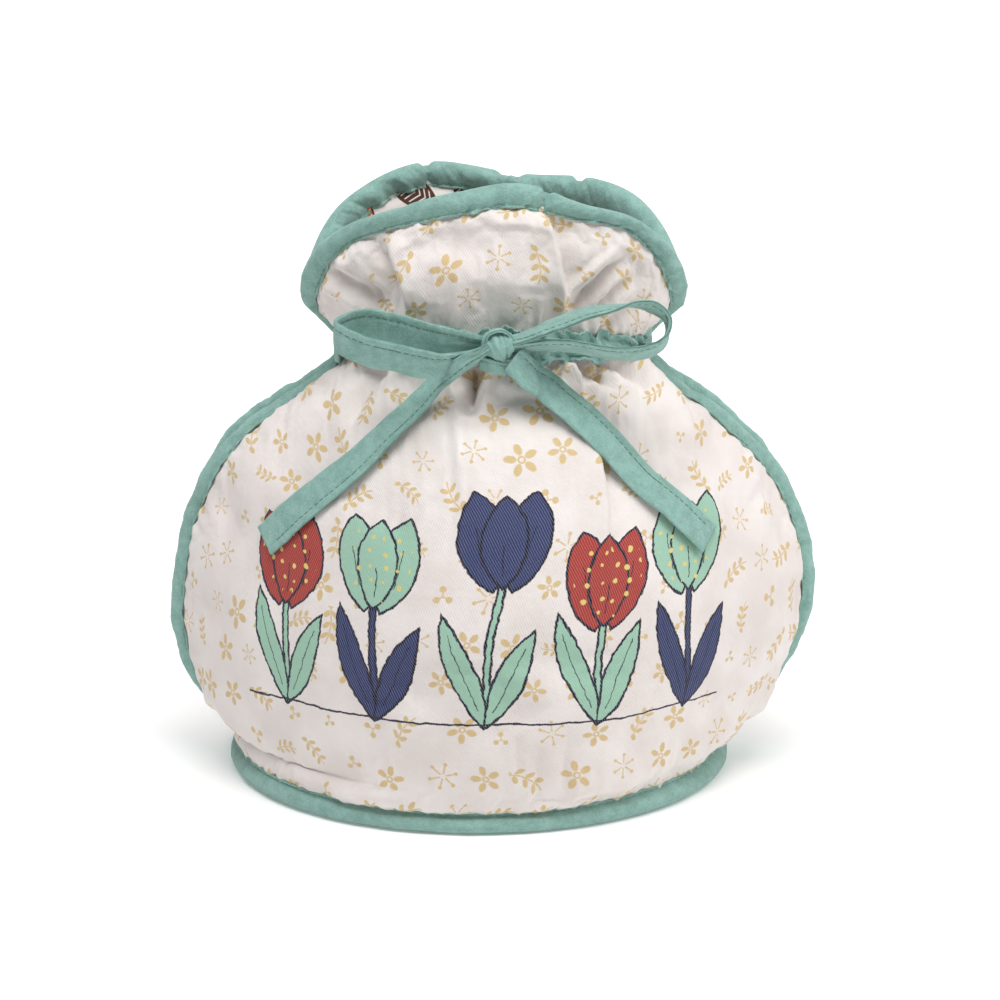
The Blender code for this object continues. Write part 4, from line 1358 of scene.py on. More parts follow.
def add_lining(shape, layout):
    v, s, full, depth = (grid[::2, ::2] for grid in layout[:4])
    flat = flat_places(shape, v, s)
    seed = 61 if shape.side < 0 else 71
    slack = 0.7 + 0.5 * wander(flat, 13 * MM, seed) + 0.35 * wander(flat, 5 * MM, seed + 1)
    depth = depth - LAYER_GAP - np.maximum(slack, 0) * full * MM
    seen = shape.at(v, s, depth - LINING_THICK)
    behind = shape.at(v, s, depth)[::2, ::2]
    name = f"inner_{shape.name}"
    piece = layer_piece(name, seen, behind, flat, LINING_COTTON, "lining_cotton")
    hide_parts(f"lining_{shape.name}")


add_lining(front, front_layout)
add_lining(back, back_layout)

# %% [markdown]
# ## The edge bindings
#
# A strip of the green cotton is folded round each free edge and stitched through. In
# section it is a flattened loop with a rounded nose, a groove where the stitches pull it
# in and a small lip beyond them. Being cut on the bias it takes the curve with slight
# slanting wrinkles. In a few places the rim is pinched where the cloth below is gathered,
# and along the collar the band is broader here and narrower there, as a hand folds it.

# %% The binding's section: (distance in from the edge, offset), the outer half
BINDING_SECTION = (
    (8.0, 1.55), (8.2, 1.95), (8.05, 2.3), (7.7, 2.3), (7.4, 2.0), (7.1, 1.95), (6.7, 2.35),
    (6.0, 3.0), (5.1, 3.55), (4.2, 3.85), (3.3, 3.95), (2.4, 3.85), (1.6, 3.45), (0.9, 2.75),
    (0.35, 1.8), (0.05, 0.75), (0.0, -0.35),
)
BINDING_SLOT = ((1.3, -2.15), (1.3, 1.45))
BINDING_MIDDLE = -0.35
BINDING_STEP = 0.7 * MM
STITCH_INSET = 7.2 * MM
STITCH_OUT, STITCH_IN = 1.98 * MM, -2.68 * MM
STITCH_LENGTH = 2.1 * MM
STITCH_PITCH = 2.8 * MM
STITCH_RADIUS = 0.22 * MM
# The rings of one stitch: (share of its length, how far out, size), the last two in radii
STITCH_RINGS = (
    (0, -0.9, 0.5), (0.12, 0.0, 0.95), (0.5, 0.35, 1.0), (0.88, 0.0, 0.95), (1, -0.9, 0.5),
)
STRIP_REACH = 16
# Where the rim is pinched: (x in millimetres, strength, width in millimetres)
KINKS = {
    "front": ((19.6, 1.3, 1.5), (-31.0, 0.35, 2.6)),
    "back": ((-25.0, 1.3, 1.6), (5.0, 0.9, 2.2), (9.5, 0.7, 2.0), (33.0, 1.0, 1.7)),
}


def whole_section():
    """The section's outer half, its mirror image inside and the slot for the cloth."""
    inner = [(inset, 2 * BINDING_MIDDLE - offset) for inset, offset in BINDING_SECTION[-2::-1]]
    return np.array([*BINDING_SECTION, *inner, *BINDING_SLOT]) * MM


class Strip:
    """The free edge as even stations, with the surface at every distance in from it."""

    def __init__(self, shape, edge):
        self.shape = shape
        self.count = round(edge.along[-1] / BINDING_STEP) + 1
        self.along = np.linspace(0.0, edge.along[-1], self.count)
        rows = np.concatenate([edge.line, edge.inward, edge.normals], axis=1)
        rows = between_rows(self.along, edge.along, rows)
        line, inward, normals = np.split(rows, 3, axis=1)
        insets = np.arange(STRIP_REACH) * MM
        wanted = line[:, None] + inward[:, None] * insets[None, :, None]
        places = np.array([[shape.place(point) for point in row] for row in wanted])
        self.spots = shape.at(places[..., 0], places[..., 1])
        self.outs = shape.out(places[..., 0], places[..., 1])
        self.spots[:, :2], self.outs[:, :2] = wanted[:, :2], normals[:, None]
        self.start, self.end, self.on_rim = band_of(shape, line)

    def points(self, station, inset, offset):
        """Points of the strip at stations, from the surface at that distance in."""
        station, inset, offset = np.broadcast_arrays(station, inset, offset)
        inset = self.start[station] + inset * ((self.end - self.start) / SIDE_BAND)[station]
        first = np.clip(np.floor(inset / MM).astype(int), 0, STRIP_REACH - 2)
        share = (inset / MM - first)[..., None]

        def mix(values):
            return values[station, first] * (1 - share) + values[station, first + 1] * share

        out = mix(self.outs)
        out /= np.linalg.norm(out, axis=-1, keepdims=True)
        return mix(self.spots) + out * offset[..., None]

    def pinch(self):
        """How strongly each station is pinched, 0 where it isn't."""
        x = self.spots[:, 0, 0]
        total = np.zeros(self.count)
        for place, strength, width in KINKS[self.shape.name]:
            total += strength * bell(x, place * MM, width * MM)
        return total * self.on_rim

    def rings(self, seed):
        section = whole_section()
        outer_count, slot_count = len(BINDING_SECTION), len(BINDING_SLOT)
        face = np.where(np.arange(len(section)) < outer_count, 1.0, -1.0)
        in_slot = np.arange(len(section)) >= len(section) - slot_count
        inset, offset = np.broadcast_arrays(section[:, 0], section[:, 1])
        inset = np.tile(inset, (self.count, 1))
        along = self.along[:, None]
        slant = np.stack([along + face * 0.9 * inset, 0.45 * inset], axis=-1)
        ruck = 0.26 * wander(slant, 2.1 * MM, seed) + 0.52 * wander(slant, 4.8 * MM, seed + 1)
        ruck *= 0.42 + 0.58 * self.on_rim[:, None]
        pinch = self.pinch()[:, None]
        plump = 1 + 0.06 * wander_line(along, 9 * MM, seed + 5)
        raised = (offset - BINDING_MIDDLE * MM) * plump * (1 - 0.34 * pinch)
        raised = raised + ruck * MM * face * ease(inset / (2.0 * MM))
        drawn = pinch * 0.42 * np.maximum(0.0, 4.2 * MM - inset)
        lip = (inset > 7.5 * MM) * 0.25 * MM * wander_line(along * face, 3.8 * MM, seed + 2)
        offset = np.where(in_slot, offset, BINDING_MIDDLE * MM + raised)
        inset = np.where(in_slot, inset, inset + drawn + lip)
        return self.points(np.arange(self.count)[:, None], inset, offset)


def thread_part(start, end, out, radius):
    """One stitch: a short thread from start to end that dips in at both ends."""
    way = end - start
    side = np.cross(way, out)
    side /= np.linalg.norm(side)
    rings = []
    for share, rise, size in STITCH_RINGS:
        centre = start + way * share + out * rise * radius
        ring = []
        for angle in np.arange(6) * math.pi / 3:
            ring.append(centre + (side * math.cos(angle) + out * math.sin(angle)) * radius * size)
        rings.append(ring)
    return sweep(rings)


def edge_stitches(strip, offset, sign):
    """Stitches that run along the strip, on its outer face (sign 1) or its inner one (-1)."""
    starts = np.arange(STITCH_PITCH, strip.along[-1] - STITCH_PITCH, STITCH_PITCH)
    first = np.searchsorted(strip.along, starts)
    last = np.searchsorted(strip.along, starts + STITCH_LENGTH)
    a, b = (strip.points(station, STITCH_INSET, offset) for station in (first, last))
    out = (strip.points(first, STITCH_INSET, offset + sign * MM) - a) / MM
    return [thread_part(*stitch, STITCH_RADIUS) for stitch in zip(a, b, out)]


def add_binding(shape, edge):
    strip = Strip(shape, edge)
    seed = 81 if shape.side < 0 else 91
    points, faces, places = sweep(strip.rings(seed))
    name = f"bound_edge_{shape.name}"
    piece = add_piece(name, points, faces, places, GREEN_COTTON, "green_cotton")
    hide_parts(f"binding_{shape.name}")
    parts = edge_stitches(strip, STITCH_OUT, 1) + edge_stitches(strip, STITCH_IN, -1)
    add_piece(f"edge_stitches_{shape.name}", *join_parts(parts), SEAM_THREAD, "green_cotton")


add_binding(front, front_edge)
add_binding(back, back_edge)

# %% [markdown]
# ## The hem
#
# The same strip, folded round the lower edge of both panels and sewn on in one go. It is
# fuller than the other bindings and rolls under a little. The stitches lie in a groove
# near its top, and the strip's edge stands up beyond them as a narrow ridge. The seam
# runs a little lower in the middle of each panel than near the slits.

# %% The hem's section: (height, offset), from the outer slot round to the inner one
HEM_SECTION = np.array((
    (9.1, 1.2), (9.25, 1.5), (9.1, 1.8), (8.7, 1.85), (8.3, 1.5), (7.9, 1.45), (7.5, 2.0),
    (6.8, 3.6), (5.6, 4.7), (4.1, 5.2), (2.8, 5.15), (1.6, 4.6), (0.7, 3.7), (0.15, 2.7),
    (0.0, 1.8), (0.0, -0.5), (0.0, -3.0), (0.2, -3.6), (1.0, -4.4), (2.4, -4.9), (4.0, -4.9),
    (5.4, -4.4), (6.4, -3.6), (7.6, -3.6), (8.0, -3.0), (8.0, -2.2), (1.2, -2.2), (1.2, 1.5),
)) * MM
HEM_STATIONS = 380
HEM_SLOT = 2
HEM_RISE = 5 * MM
HEM_STITCH_HEIGHT, HEM_STITCH_OUT = 8.05 * MM, 1.5 * MM
HEM_STITCH_PITCH, HEM_STITCH_LENGTH = 3.9, 2.9
HEM_STITCH_RADIUS = 0.24 * MM


def hem_points(station, height, offset):
    """Points round the hem. Stations count along the front and then back along the back."""
    station = np.mod(station, 2.0 * HEM_STATIONS)
    station, height, offset = np.broadcast_arrays(station, height, offset)
    points = np.empty((*station.shape, 3))
    on_front = station <= HEM_STATIONS
    across = 2 * station / HEM_STATIONS
    height = height * hem_share(np.where(on_front, across - 1, 3 - across))
    for shape, mine, s in ((front, on_front, across - 1), (back, ~on_front, 3 - across)):
        points[mine] = shape.at(height[mine], s[mine], offset[mine])
    points[..., 2] = height
    return points


hem_length = sum(2 * float(shape.half_at(HEM_RISE)) for shape in (front, back))


def hem_rings():
    station = np.arange(2 * HEM_STATIONS)[:, None]
    turn = math.pi * station / HEM_STATIONS
    height, offset = HEM_SECTION[:, 0], HEM_SECTION[:, 1]
    outside = (offset > 0) & (np.arange(len(HEM_SECTION)) < len(HEM_SECTION) - HEM_SLOT)
    radius = hem_length / (2 * math.pi)
    round_it = np.concatenate([np.cos(turn), np.sin(turn)], axis=1)[:, None] * radius
    round_it = np.broadcast_to(round_it, (len(turn), len(height), 2))
    lifted = np.broadcast_to(0.8 * height[:, None], (*round_it.shape[:2], 1))
    slanted = np.concatenate([round_it, lifted], axis=2)
    ruck = 0.06 * wander(slanted, 2.6 * MM, 101) + 0.16 * wander(slanted, 9.0 * MM, 102)
    rough = 0.25 * MM * wander(round_it, 4.2 * MM, 103)
    offset = offset + np.where(outside, ruck * MM * ease(height / (2 * MM)), 0.0)
    height = height + np.where(outside & (height > 8.2 * MM), rough, 0.0)
    return hem_points(station, height, offset)


def hem_stitches():
    start = np.arange(0, 2 * HEM_STATIONS, HEM_STITCH_PITCH)
    ends = (start, start + HEM_STITCH_LENGTH)
    a, b = (hem_points(station, HEM_STITCH_HEIGHT, HEM_STITCH_OUT) for station in ends)
    out = (hem_points(start, HEM_STITCH_HEIGHT, HEM_STITCH_OUT + MM) - a) / MM
    return [thread_part(*stitch, HEM_STITCH_RADIUS) for stitch in zip(a, b, out)]


hem = add_piece("bound_hem", *sweep(hem_rings(), closed=True), GREEN_COTTON, "green_cotton")
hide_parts("hem_binding")
add_piece("hem_stitches", *join_parts(hem_stitches()), SEAM_THREAD, "green_cotton")

# %% [markdown]
# ## The casings
#
# A straight strip is sewn round each neck along its two edges, and the tape runs inside
# it. When the tape is drawn up, the strip crowds into small irregular pleats. Beyond the
# two seams its edges stand out as a little ruffle. The tape makes its middle round.

# %% Build the casings
CASING_BELOW, CASING_ABOVE = 8.2 * MM, 7.7 * MM
CASING_END = 0.872
CASING_FOOT = 4.1 * MM
CASING_LEAST = CASING_FOOT + 0.9 * MM
CASING_ROWS = 33
CASING_COLUMNS = 641
# The strip's own section: (place across it from -1 to 1, millimetres from the mid-surface)
CASING_SWELL = (
    (-1.0, 6.6), (-0.86, 6.2), (-0.74, 5.2), (-0.62, 5.3), (-0.4, 6.8), (0.0, 7.4),
    (0.4, 6.9), (0.62, 5.5), (0.74, 5.2), (0.86, 6.2), (1.0, 6.6),
)
PLEAT_PITCH = 6.4 * MM
PLEAT_TAKE_UP = 1.45


def pleats(u, seed):
    """Irregular pleats along the strip, from about -1 to 1, with rounded crests."""
    paced = u + 1.3 * MM * wander_line(u, 9 * MM, seed)
    turn = paced * math.pi / PLEAT_PITCH
    fine = 0.55 * wander_line(u, 1.7 * MM, seed + 1)
    height = 0.75 + 0.45 * wander_line(u, 11 * MM, seed + 2)
    return (0.5 - np.abs(np.sin(turn)) + 0.6 * np.sin(2 * turn)) * height + fine


def frayed(u, fine, broad, seed):
    """How far the strip's edge wanders up and down, in metres."""
    wandered = 1.1 * wander_line(u, fine * MM, seed) + 0.6 * wander_line(u, broad * MM, seed + 1)
    return wandered * MM


def add_casing(shape):
    seed = 111 if shape.side < 0 else 121
    level = np.linspace(-1.0, 1.0, CASING_ROWS)[:, None]
    s = np.linspace(-CASING_END, CASING_END, CASING_COLUMNS)[None, :]
    level, s = np.broadcast_arrays(level, s)
    half_neck = float(shape.half_at(shape.neck))
    u = s * half_neck
    above = CASING_ABOVE + frayed(u, 3.3, 7, seed + 3)
    below = CASING_BELOW + frayed(u, 3.1, 8, seed + 5)
    across = level * np.where(level > 0, above, below)
    lean = 0.54 * MM * wander_line(u, 12 * MM, seed + 7) * np.abs(level)
    s_leaned = s + lean / half_neck
    v = shape.beside_neck(across, s)
    frill = ease((np.abs(level) - 0.70) / 0.16)
    crowd = 1.25 + 0.55 * np.abs(level) ** 2 + 0.8 * frill
    fold_shift = level * 1.1 * MM * wander_line(u, 14 * MM, seed + 8)
    push = pleats(u + fold_shift, seed + 9) * crowd * MM
    seam = bell(np.abs(level), 0.67, 0.07)
    swell = (np.interp(level, *np.array(CASING_SWELL).T) - 1.6 * seam) * MM
    lifted = np.maximum(swell + push, CASING_LEAST)
    outer = shape.at(v, s_leaned, lifted)
    under = (CASING_FOOT + 0.2 * MM) * (1 - frill) + (lifted - 0.8 * MM) * frill
    inner = shape.at(v, s_leaned, under)[::2, ::2]
    flat = np.stack([u * PLEAT_TAKE_UP, across], axis=-1)
    piece = layer_piece(f"gathered_{shape.name}", outer, inner, flat, GREEN_COTTON, "green_cotton")
    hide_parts(f"casing_{shape.name}")


add_casing(front)
add_casing(back)

# %% [markdown]
# ## The tape
#
# The tie is a narrow tube of the green cotton: a strip folded in half along its length and
# stitched near its open edge. So one edge is a round fold, the other shows two layers, and
# a groove of stitches runs beside it. The same section serves the bow and the two short
# runs at the sides.

# %% The tape's section: (across, thickness), both as millimetres from its middle
TAPE_WIDTH = 11.8
TAPE_FACE = (
    (-5.9, 0.0), (-5.8, 0.34), (-5.45, 0.56), (-4.8, 0.64), (-3.4, 0.66), (-1.7, 0.68), (0.0, 0.68),
    (1.6, 0.68), (2.5, 0.62), (2.95, 0.46), (3.25, 0.38), (3.55, 0.46), (4.0, 0.60), (4.8, 0.66),
    (5.45, 0.62), (5.85, 0.46), (5.95, 0.24), (5.7, 0.08), (5.0, 0.05),
)
TAPE_STITCH, TAPE_STITCH_OUT = 3.25 * MM, 0.42 * MM
TAPE_STITCH_PITCH, TAPE_STITCH_LENGTH = 2.5 * MM, 1.9 * MM
TAPE_STITCH_RADIUS = 0.17 * MM
FOLD_HEIGHT, FOLD_PITCH, FOLD_FADE = 0.50, 4.1 * MM, 12 * MM
STRAND_STEP = 0.8 * MM


def tape_section():
    under = [(across, -thick) for across, thick in TAPE_FACE[:0:-1]]
    return np.array([*TAPE_FACE, *under]) * MM


def smooth_line(points, count):
    """An even smooth line through given points."""
    points = np.asarray(points, float)
    knots = lengths_along(points)
    at = np.linspace(0.0, knots[-1], 600)
    columns = [smooth_curve(at, knots, column) for column in points.T]
    return even_line(np.stack(columns, axis=1), count)


class Strand:
    """A run of the tape: its middle line, the way its width points and how wide it is."""

    def __init__(self, line, across, width, seed):
        self.line, self.seed = line, seed
        tangents = np.gradient(line, axis=0)
        self.tangents = tangents / np.linalg.norm(tangents, axis=1, keepdims=True)
        across = np.broadcast_to(np.asarray(across, float), line.shape)
        across = across - self.tangents * (across * self.tangents).sum(axis=1, keepdims=True)
        self.across = across / np.linalg.norm(across, axis=1, keepdims=True)
        self.flat = np.cross(self.tangents, self.across)
        self.width = np.broadcast_to(np.asarray(width, float), len(line))
        self.along = lengths_along(line)
        self.from_knot = np.full(len(line), np.inf)

    def points(self, station, across, thick):
        """Points of the tape at stations, by their place in its section."""
        station, across, thick = np.broadcast_arrays(station, across, thick)
        along, size = self.along[station], self.width[station][..., None]
        place = np.stack([along + 0.5 * across, 0.7 * across], axis=-1)
        ruck = 0.08 * wander(place, 3.2 * MM, self.seed)
        ruck = ruck + 0.22 * wander(place, 10 * MM, self.seed + 1)
        folds = np.sin(across * (2 * math.pi / FOLD_PITCH) + self.seed)
        ruck = ruck + FOLD_HEIGHT * folds * np.exp(-self.from_knot[station] / FOLD_FADE)
        edge = 0.015 * wander_line(along, 8 * MM, self.seed + 2)
        share = across / (TAPE_WIDTH * MM) * (1 + edge)
        spot = self.line[station] + self.across[station] * size * share[..., None]
        return spot + self.flat[station] * (thick + ruck * MM)[..., None]

    def rings(self):
        across, thick = tape_section().T
        return self.points(np.arange(len(self.line))[:, None], across, thick)

    def stitches(self):
        """Stitches beside the open edge, on both faces."""
        starts = np.arange(3 * MM, self.along[-1] - 5 * MM, TAPE_STITCH_PITCH)
        first = np.searchsorted(self.along, starts)
        last = np.searchsorted(self.along, starts + TAPE_STITCH_LENGTH)
        parts = []
        for sign in (1, -1):
            a, b = (self.points(k, TAPE_STITCH, sign * TAPE_STITCH_OUT) for k in (first, last))
            out = self.flat[first] * sign
            parts += [thread_part(*stitch, TAPE_STITCH_RADIUS) for stitch in zip(a, b, out)]
        return parts


def strand_stations(line):
    """How many stations a run of the tape gets along a line."""
    return max(4, round(lengths_along(np.asarray(line, float))[-1] / STRAND_STEP))


print("tape section:", len(tape_section()), "points")

# %% [markdown]
# ## The bow
#
# The knot lies in front of the casing. The left loop shows its broad face and its open
# inside, the right loop is seen nearly edge-on as a slim hoop, and the two free ends fall
# left and right over the body. Loops and the starts of the ends are given by points from
# the knot's centre. Further down an end is given by places on the panel, and lifted
# wherever the panel's built cloth would stand through it.

# %% Lines of the bow, in millimetres from the knot
LEFT_LOOP = (
    (-1.6, -1.1, -0.9), (-10, -3, -4.2), (-20, -5, -5.6), (-34.7, -8, -2.5), (-46, -8.6, 0.6),
    (-52.4, -6, 3.0), (-54.8, -1.6, 4.1), (-52.4, 3.0, 5.2), (-46, 6.0, 6.6), (-34.7, 5.4, 5.0),
    (-24.9, 2.8, 2.8), (-14, 0.8, 1.4), (-1.6, 1.1, 0.5),
)
LEFT_LOOP_TURNS = ((0.0, 60.0), (0.3, 62.0), (0.5, 70.0), (0.62, 80.0), (0.85, 80.0), (1.0, 66.0))
RIGHT_LOOP = (
    (2, 0, 1.4), (10, -1.4, 3.6), (18.6, -3, 7.6), (38.3, -5, 14.1), (48.1, -5, 15.4),
    (54.4, -5, 13.8), (57.8, -4.6, 10.4), (58.4, -4.2, 6.4), (56.2, -4, 1.6), (51.8, -4, -1),
    (43.2, -4, -1.7), (33.3, -3.6, -0.6), (23.5, -3, 1), (14, -1.6, 0.4), (2, 0, -0.8),
)
RIGHT_LOOP_TURNS = (
    (0.0, -14.0), (0.22, -12.0), (0.33, 2.0), (0.43, 25.0), (0.55, 32.0), (0.75, 28.0), (1.0, 24.0),
)
# The free ends on the panel: (s, millimetres below the neck, lift, width)
LEFT_TAIL_START = ((-2.6, -3.2, 0.4), (-6.2, -5.2, -1.8), (-10.4, -6.0, -4.1), (-14.4, -5.2, -7.1))
LEFT_TAIL_WIDTHS = (3.4, 4.0, 5.0, 6.2)
LEFT_TAIL = np.array((
    (-0.197, 21.5, 10.0, 7.6), (-0.252, 27.9, 8.0, 8.8), (-0.308, 34.3, 6.5, 9.8),
    (-0.403, 47.6, 5.1, 11.2), (-0.471, 57.0, 4.9, 12.0), (-0.536, 67.6, 4.9, 12.4),
    (-0.600, 79.6, 5.0, 12.4),
))
RIGHT_TAIL_START = ((5.4, -1.4, -4.6), (8.8, -1.6, -7.4), (12.6, -1.0, -10.8))
RIGHT_TAIL_WIDTHS = (9.4, 10.8, 11.6)
RIGHT_TAIL = np.array((
    (0.187, 21.4, 8.6, 12.0), (0.259, 29.4, 7.4, 12.4), (0.329, 38.9, 6.3, 12.5),
    (0.396, 54.0, 5.3, 12.5), (0.462, 65.4, 5.1, 12.5), (0.548, 79.0, 5.1, 12.4),
))
TAIL_FACING = np.array((0.0, -1.0, 0.25))
TAPE_COVER, TAPE_CLEAR, TAPE_EASE = 4, 1.0 * MM, 16
KNOT_X, KNOT_OUT, KNOT_RISE = 1.6 * MM, 5.8 * MM, 1.4 * MM
CASING_FACE = 7.5 * MM
LOOP_NARROWING, LOOP_SPREAD = 0.55, 26 * MM
KNOT_RADII = np.array((4.9, 4.4, 5.2)) * MM
KNOT_SHIFT = np.array((1.5, 0.0, -0.2)) * MM
KNOT_LEAN = math.radians(14.0)
KNOT_NARROWING = 0.66
KNOT_CREASE_AT, KNOT_CREASE_WIDTH = 0.40, 0.09
KNOT_ARCH = (
    (-4.0, -0.2, -1.5), (-4.0, -0.9, 1.4), (-3.2, -1.1, 3.9), (-1.3, -1.2, 5.6), (1.1, -1.2, 6.2),
    (3.4, -1.0, 5.5), (5.2, -0.6, 3.8),
)
KNOT_FLAP = ((-5.4, -1.0, -5.2), (-2.4, -2.0, -6.0), (1.2, -2.2, -6.9), (4.2, -1.4, -7.8))


def knot_centre():
    s = np.linspace(-0.3, 0.3, 61)
    face = front.at(front.neck, s, CASING_FACE)
    middle = face[len(s) // 2]
    return np.array([KNOT_X, face[:, 1].min() - KNOT_OUT, middle[2] + KNOT_RISE])


def line_from_knot(points):
    """An even line through points given in millimetres from the knot's centre."""
    points = np.array(points) * MM
    return smooth_line(points, strand_stations(points)) + knot_centre()


def turning_across(turns, count):
    """A way across that leans up by so many degrees at each share of the loop."""
    lean = np.radians(np.interp(np.linspace(0, 1, count), *np.array(turns).T))
    return np.stack([lean * 0 + 0.02, -np.cos(lean), np.sin(lean)], axis=1)


def loop_strand(points, turns, seed):
    """One loop of the bow. It is drawn together where it enters the knot."""
    line = line_from_knot(points)
    number = np.arange(len(line))
    from_end = np.minimum(number, number[::-1]) * STRAND_STEP
    opened = LOOP_NARROWING + (1 - LOOP_NARROWING) * ease(from_end / LOOP_SPREAD)
    strand = Strand(line, turning_across(turns, len(line)), TAPE_WIDTH * MM * opened, seed)
    strand.from_knot = from_end
    return strand


def panel_face():
    """How far out the highest cloth near each place of the front panel stands."""
    highest = front_layout[4]
    for axis in (0, 1):
        shifted = [np.roll(highest, k, axis) for k in range(-TAPE_COVER, TAPE_COVER + 1)]
        highest = np.max(shifted, axis=0)
    return highest


def face_at(v, s):
    row = np.clip((v - PANEL_FOOT) / (front.top - PANEL_FOOT), 0, 1) * (PANEL_ROWS - 1)
    column = (np.clip(s, -1, 1) + 1) / 2 * (PANEL_COLUMNS - 1)
    return highest_cloth[np.round(row).astype(int), np.round(column).astype(int)]


def tail_line(start, start_widths, table):
    """The even line of a free end, its widths and how far along it each point lies."""
    s, below, lift, width = table.T
    first = np.array(start) * MM + knot_centre()
    lying = front.at(front.neck - below * MM, s, lift * MM)
    knots = np.concatenate([first, lying])
    widths = np.concatenate([start_widths, width]) * MM
    steps = np.arange(len(knots), dtype=float)
    at = np.linspace(0, len(knots) - 1, 300)
    columns = [smooth_curve(at, steps, column) for column in (*knots.T, widths)]
    rows = np.stack(columns, axis=1)
    along = lengths_along(rows[:, :3])
    even = np.linspace(0, along[-1], round(along[-1] / STRAND_STEP))
    rows = between_rows(even, along, rows)
    return rows[:, :3], rows[:, 3], even


def lift_clear(line, places, normals, share):
    """How far the tape has to be lifted to lie on the built cloth, smoothed along it."""
    standing = ((line - front.at(*places)) * normals).sum(axis=1)
    short = np.maximum(face_at(*places) + TAPE_CLEAR - standing, 0.0) * share
    reach = range(-TAPE_EASE // 2, TAPE_EASE // 2 + 1)
    short = np.max([np.roll(short, k) for k in reach], axis=0)
    window = np.hanning(2 * TAPE_EASE + 1)
    return np.convolve(np.pad(short, TAPE_EASE, "edge"), window / window.sum(), "valid")


def tail_strand(start, start_widths, table, lead, seed):
    """A free end: it leaves the knot at given points and then lies on the front panel."""
    line, widths, even = tail_line(start, start_widths, table)
    places = np.array([front.place(point) for point in line]).T
    normals = front.out(*places)
    share = ease(even / (lead * MM))
    line += normals * lift_clear(line, places, normals, share)[:, None]
    normals = normals * share[:, None] + TAIL_FACING * (1 - share[:, None])
    across = np.cross(normals, np.gradient(line, axis=0))
    strand = Strand(line, across, widths, seed)
    strand.from_knot = even
    return strand


def knot_part():
    """The band of tape wrapped round the knot: broad above, drawn together at its foot."""
    centre = knot_centre() + KNOT_SHIFT
    rings = []
    across = np.linspace(-1.0, 1.0, 31)
    for turn in np.linspace(0.0, 2 * math.pi, 97)[:-1]:
        rise = math.sin(turn)
        narrowed = float(ease(-0.15 - rise * 0.95)) * (math.cos(turn) > -0.2)
        spread = 1.0 - KNOT_NARROWING * narrowed
        ring = []
        for face in (1, -1):
            for a in across[::face]:
                crown = math.sqrt(max(0.0, 1 - 0.55 * a * a))
                place = np.array([a * 4.2 * MM * spread + rise * 0.8 * MM, turn * 1.3 * MM])
                crease = bell(a, KNOT_CREASE_AT, KNOT_CREASE_WIDTH)
                wrinkle = 0.24 * wander(place, 1.1 * MM, 131) - 0.75 * crease
                thick = 0.5 + wrinkle if face > 0 else -0.8
                y = (KNOT_RADII[1] * crown + thick * MM) * math.cos(turn)
                z = (KNOT_RADII[2] * crown + thick * MM) * rise
                lean_x, lean_z = turned(a * KNOT_RADII[0] * spread, z, -KNOT_LEAN)
                ring.append(centre + np.array([lean_x, -y, lean_z]))
        rings.append(ring)
    return sweep(rings, closed=True)


def short_strand(points, across, width, seed):
    """A short crumpled turn of the tape close to the knot."""
    return Strand(line_from_knot(points), across, width * MM, seed)


highest_cloth = panel_face()
turns = (
    short_strand(KNOT_ARCH, (0.1, -1.0, 0.1), 4.6, 201),
    short_strand(KNOT_FLAP, (0.25, -0.3, 0.9), 4.8, 205),
)
strands = (
    loop_strand(LEFT_LOOP, LEFT_LOOP_TURNS, 141),
    loop_strand(RIGHT_LOOP, RIGHT_LOOP_TURNS, 151),
    tail_strand(LEFT_TAIL_START, LEFT_TAIL_WIDTHS, LEFT_TAIL, 30, 161),
    tail_strand(RIGHT_TAIL_START, RIGHT_TAIL_WIDTHS, RIGHT_TAIL, 6, 171),
)
parts = [sweep(strand.rings()) for strand in (*strands, *turns)] + [knot_part()]
bow = add_piece("tape_bow", *join_parts(parts), GREEN_COTTON, "green_cotton")
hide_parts("tie_bow")
thread_runs = [part for strand in strands for part in strand.stitches()]
add_piece("bow_stitches", *join_parts(thread_runs), TAPE_THREAD, "green_cotton")

# %% [markdown]
# ## The tape at the sides
#
# Between the ends of the two casings the tape crosses each slit in the open. There it lies
# in a short bend round the narrow side of the neck. It has the section of the bow's tape.

# %% Build the side runs
TIE_SIDE_OUT = 6.0 * MM
TIE_SIDE_LAP = 0.05


def side_strand(sign, seed):
    s = sign * np.linspace(CASING_END - TIE_SIDE_LAP, 1.0, 24)
    runs = [shape.at(shape.neck, s, TIE_SIDE_OUT) for shape in (front, back)]
    line = np.concatenate([runs[0], runs[1][::-1]])
    line = smooth_line(line[::3], strand_stations(line))
    return Strand(line, (0.0, 0.0, 1.0), TAPE_WIDTH * MM, seed)


for name, sign, seed in (("left", -1, 181), ("right", 1, 191)):
    strand = side_strand(sign, seed)
    piece = add_piece(f"tape_{name}", *sweep(strand.rings()), GREEN_COTTON, "green_cotton")
    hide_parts(f"tie_side_{name}")

# %% [markdown]
# ## Light, floor and camera
#
# A pale floor curves up into a pale wall behind. The main soft light hangs in front of the
# cosy, high up. Two of about half its strength hang left and right, the left one higher,
# and a strong one lights the wall. All are broad discs, so the shadows stay soft.

# %% Floor, lights and camera
FLOOR_REACH, BEND_START, BEND_RADIUS, WALL_TOP = 9.0, 1.1, 1.2, 4.0
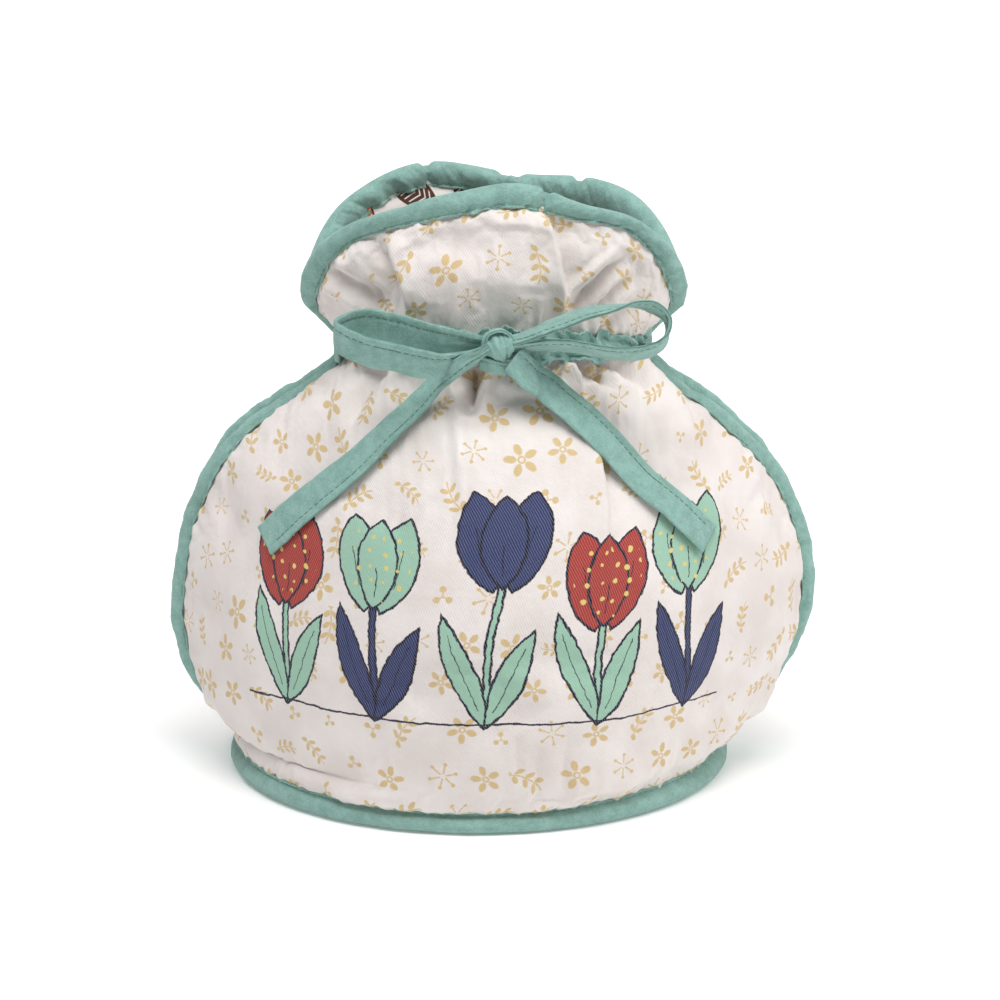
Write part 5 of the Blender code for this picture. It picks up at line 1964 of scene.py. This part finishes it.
# The lights: (name, place, aim, size, watts, colour)
LIGHTS = (
    ("above", (0.15, -0.58, 1.50), (0.0, 0.0, 0.12), 0.90, 14.0, (1.0, 0.99, 0.985)),
    ("right", (1.3, -0.25, 0.9), (0.0, 0.0, 0.10), 0.80, 7.0, (1.0, 0.985, 0.97)),
    ("left", (-0.60, -0.45, 1.50), (0.0, 0.0, 0.12), 0.70, 7.5, (0.98, 0.99, 1.0)),
    ("wall", (0.0, 0.9, 1.9), (0.0, 2.4, 1.2), 1.6, 34.0, (1.0, 1.0, 1.0)),
)


def backdrop():
    """A floor that turns up into a wall behind the cosy, as one smooth sheet."""
    profile = [(-FLOOR_REACH, 0.0), (BEND_START, 0.0)]
    for a in np.radians(np.linspace(0, 90, 24))[1:]:
        profile.append((BEND_START + BEND_RADIUS * math.sin(a), BEND_RADIUS * (1 - math.cos(a))))
    profile.append((BEND_START + BEND_RADIUS, WALL_TOP))
    points = [(x, y, z) for x in (-FLOOR_REACH, FLOOR_REACH) for y, z in profile]
    count = len(profile)
    faces = [(k, count + k, count + k + 1, k + 1) for k in range(count - 1)]
    mesh = mesh_of("floor", points, faces)
    mesh.shade_smooth()
    floor = put_in_scene("floor", mesh)
    finish = bpy.data.materials.new("pale_floor")
    finish.use_nodes = True
    shader = finish.node_tree.nodes["Principled BSDF"]
    shader.inputs["Base Color"].default_value = (*linear(248, 248, 248), 1.0)
    shader.inputs["Roughness"].default_value = 0.75
    shader.inputs["Emission Color"].default_value = (1.0, 1.0, 1.0, 1.0)
    shader.inputs["Emission Strength"].default_value = 0.16
    mesh.materials.append(finish)


def area_light(name, place, aim, size, watts, colour):
    data = bpy.data.lights.new(name, "AREA")
    data.shape = "DISK"
    data.size, data.energy, data.color = size, watts, colour
    light = put_in_scene(name, data)
    light.location = place
    light.rotation_euler = (Vector(aim) - Vector(place)).to_track_quat("-Z", "Y").to_euler()


def sky(colour, strength):
    world = bpy.data.worlds.new("pale_room")
    world.use_nodes = True
    source = world.node_tree.nodes["Background"]
    source.inputs["Color"].default_value = (*colour, 1.0)
    source.inputs["Strength"].default_value = strength
    bpy.context.scene.world = world


AIM = Vector((0.003, 0.0, 0.098))
CAMERA_DISTANCE = 1.028
CAMERA_RISE = math.radians(13.0)


def add_camera():
    data = bpy.data.cameras.new("camera")
    data.lens, data.sensor_width = 100.0, 36.0
    camera = put_in_scene("camera", data)
    reach = Vector((0.0, -math.cos(CAMERA_RISE), math.sin(CAMERA_RISE)))
    camera.location = AIM + reach * CAMERA_DISTANCE
    camera.rotation_euler = (-reach).to_track_quat("-Z", "Y").to_euler()
    bpy.context.scene.camera = camera


backdrop()
sky((1.0, 1.0, 1.0), 0.12)
for light in LIGHTS:
    area_light(*light)
add_camera()
bpy.context.scene.view_settings.view_transform = "Standard"
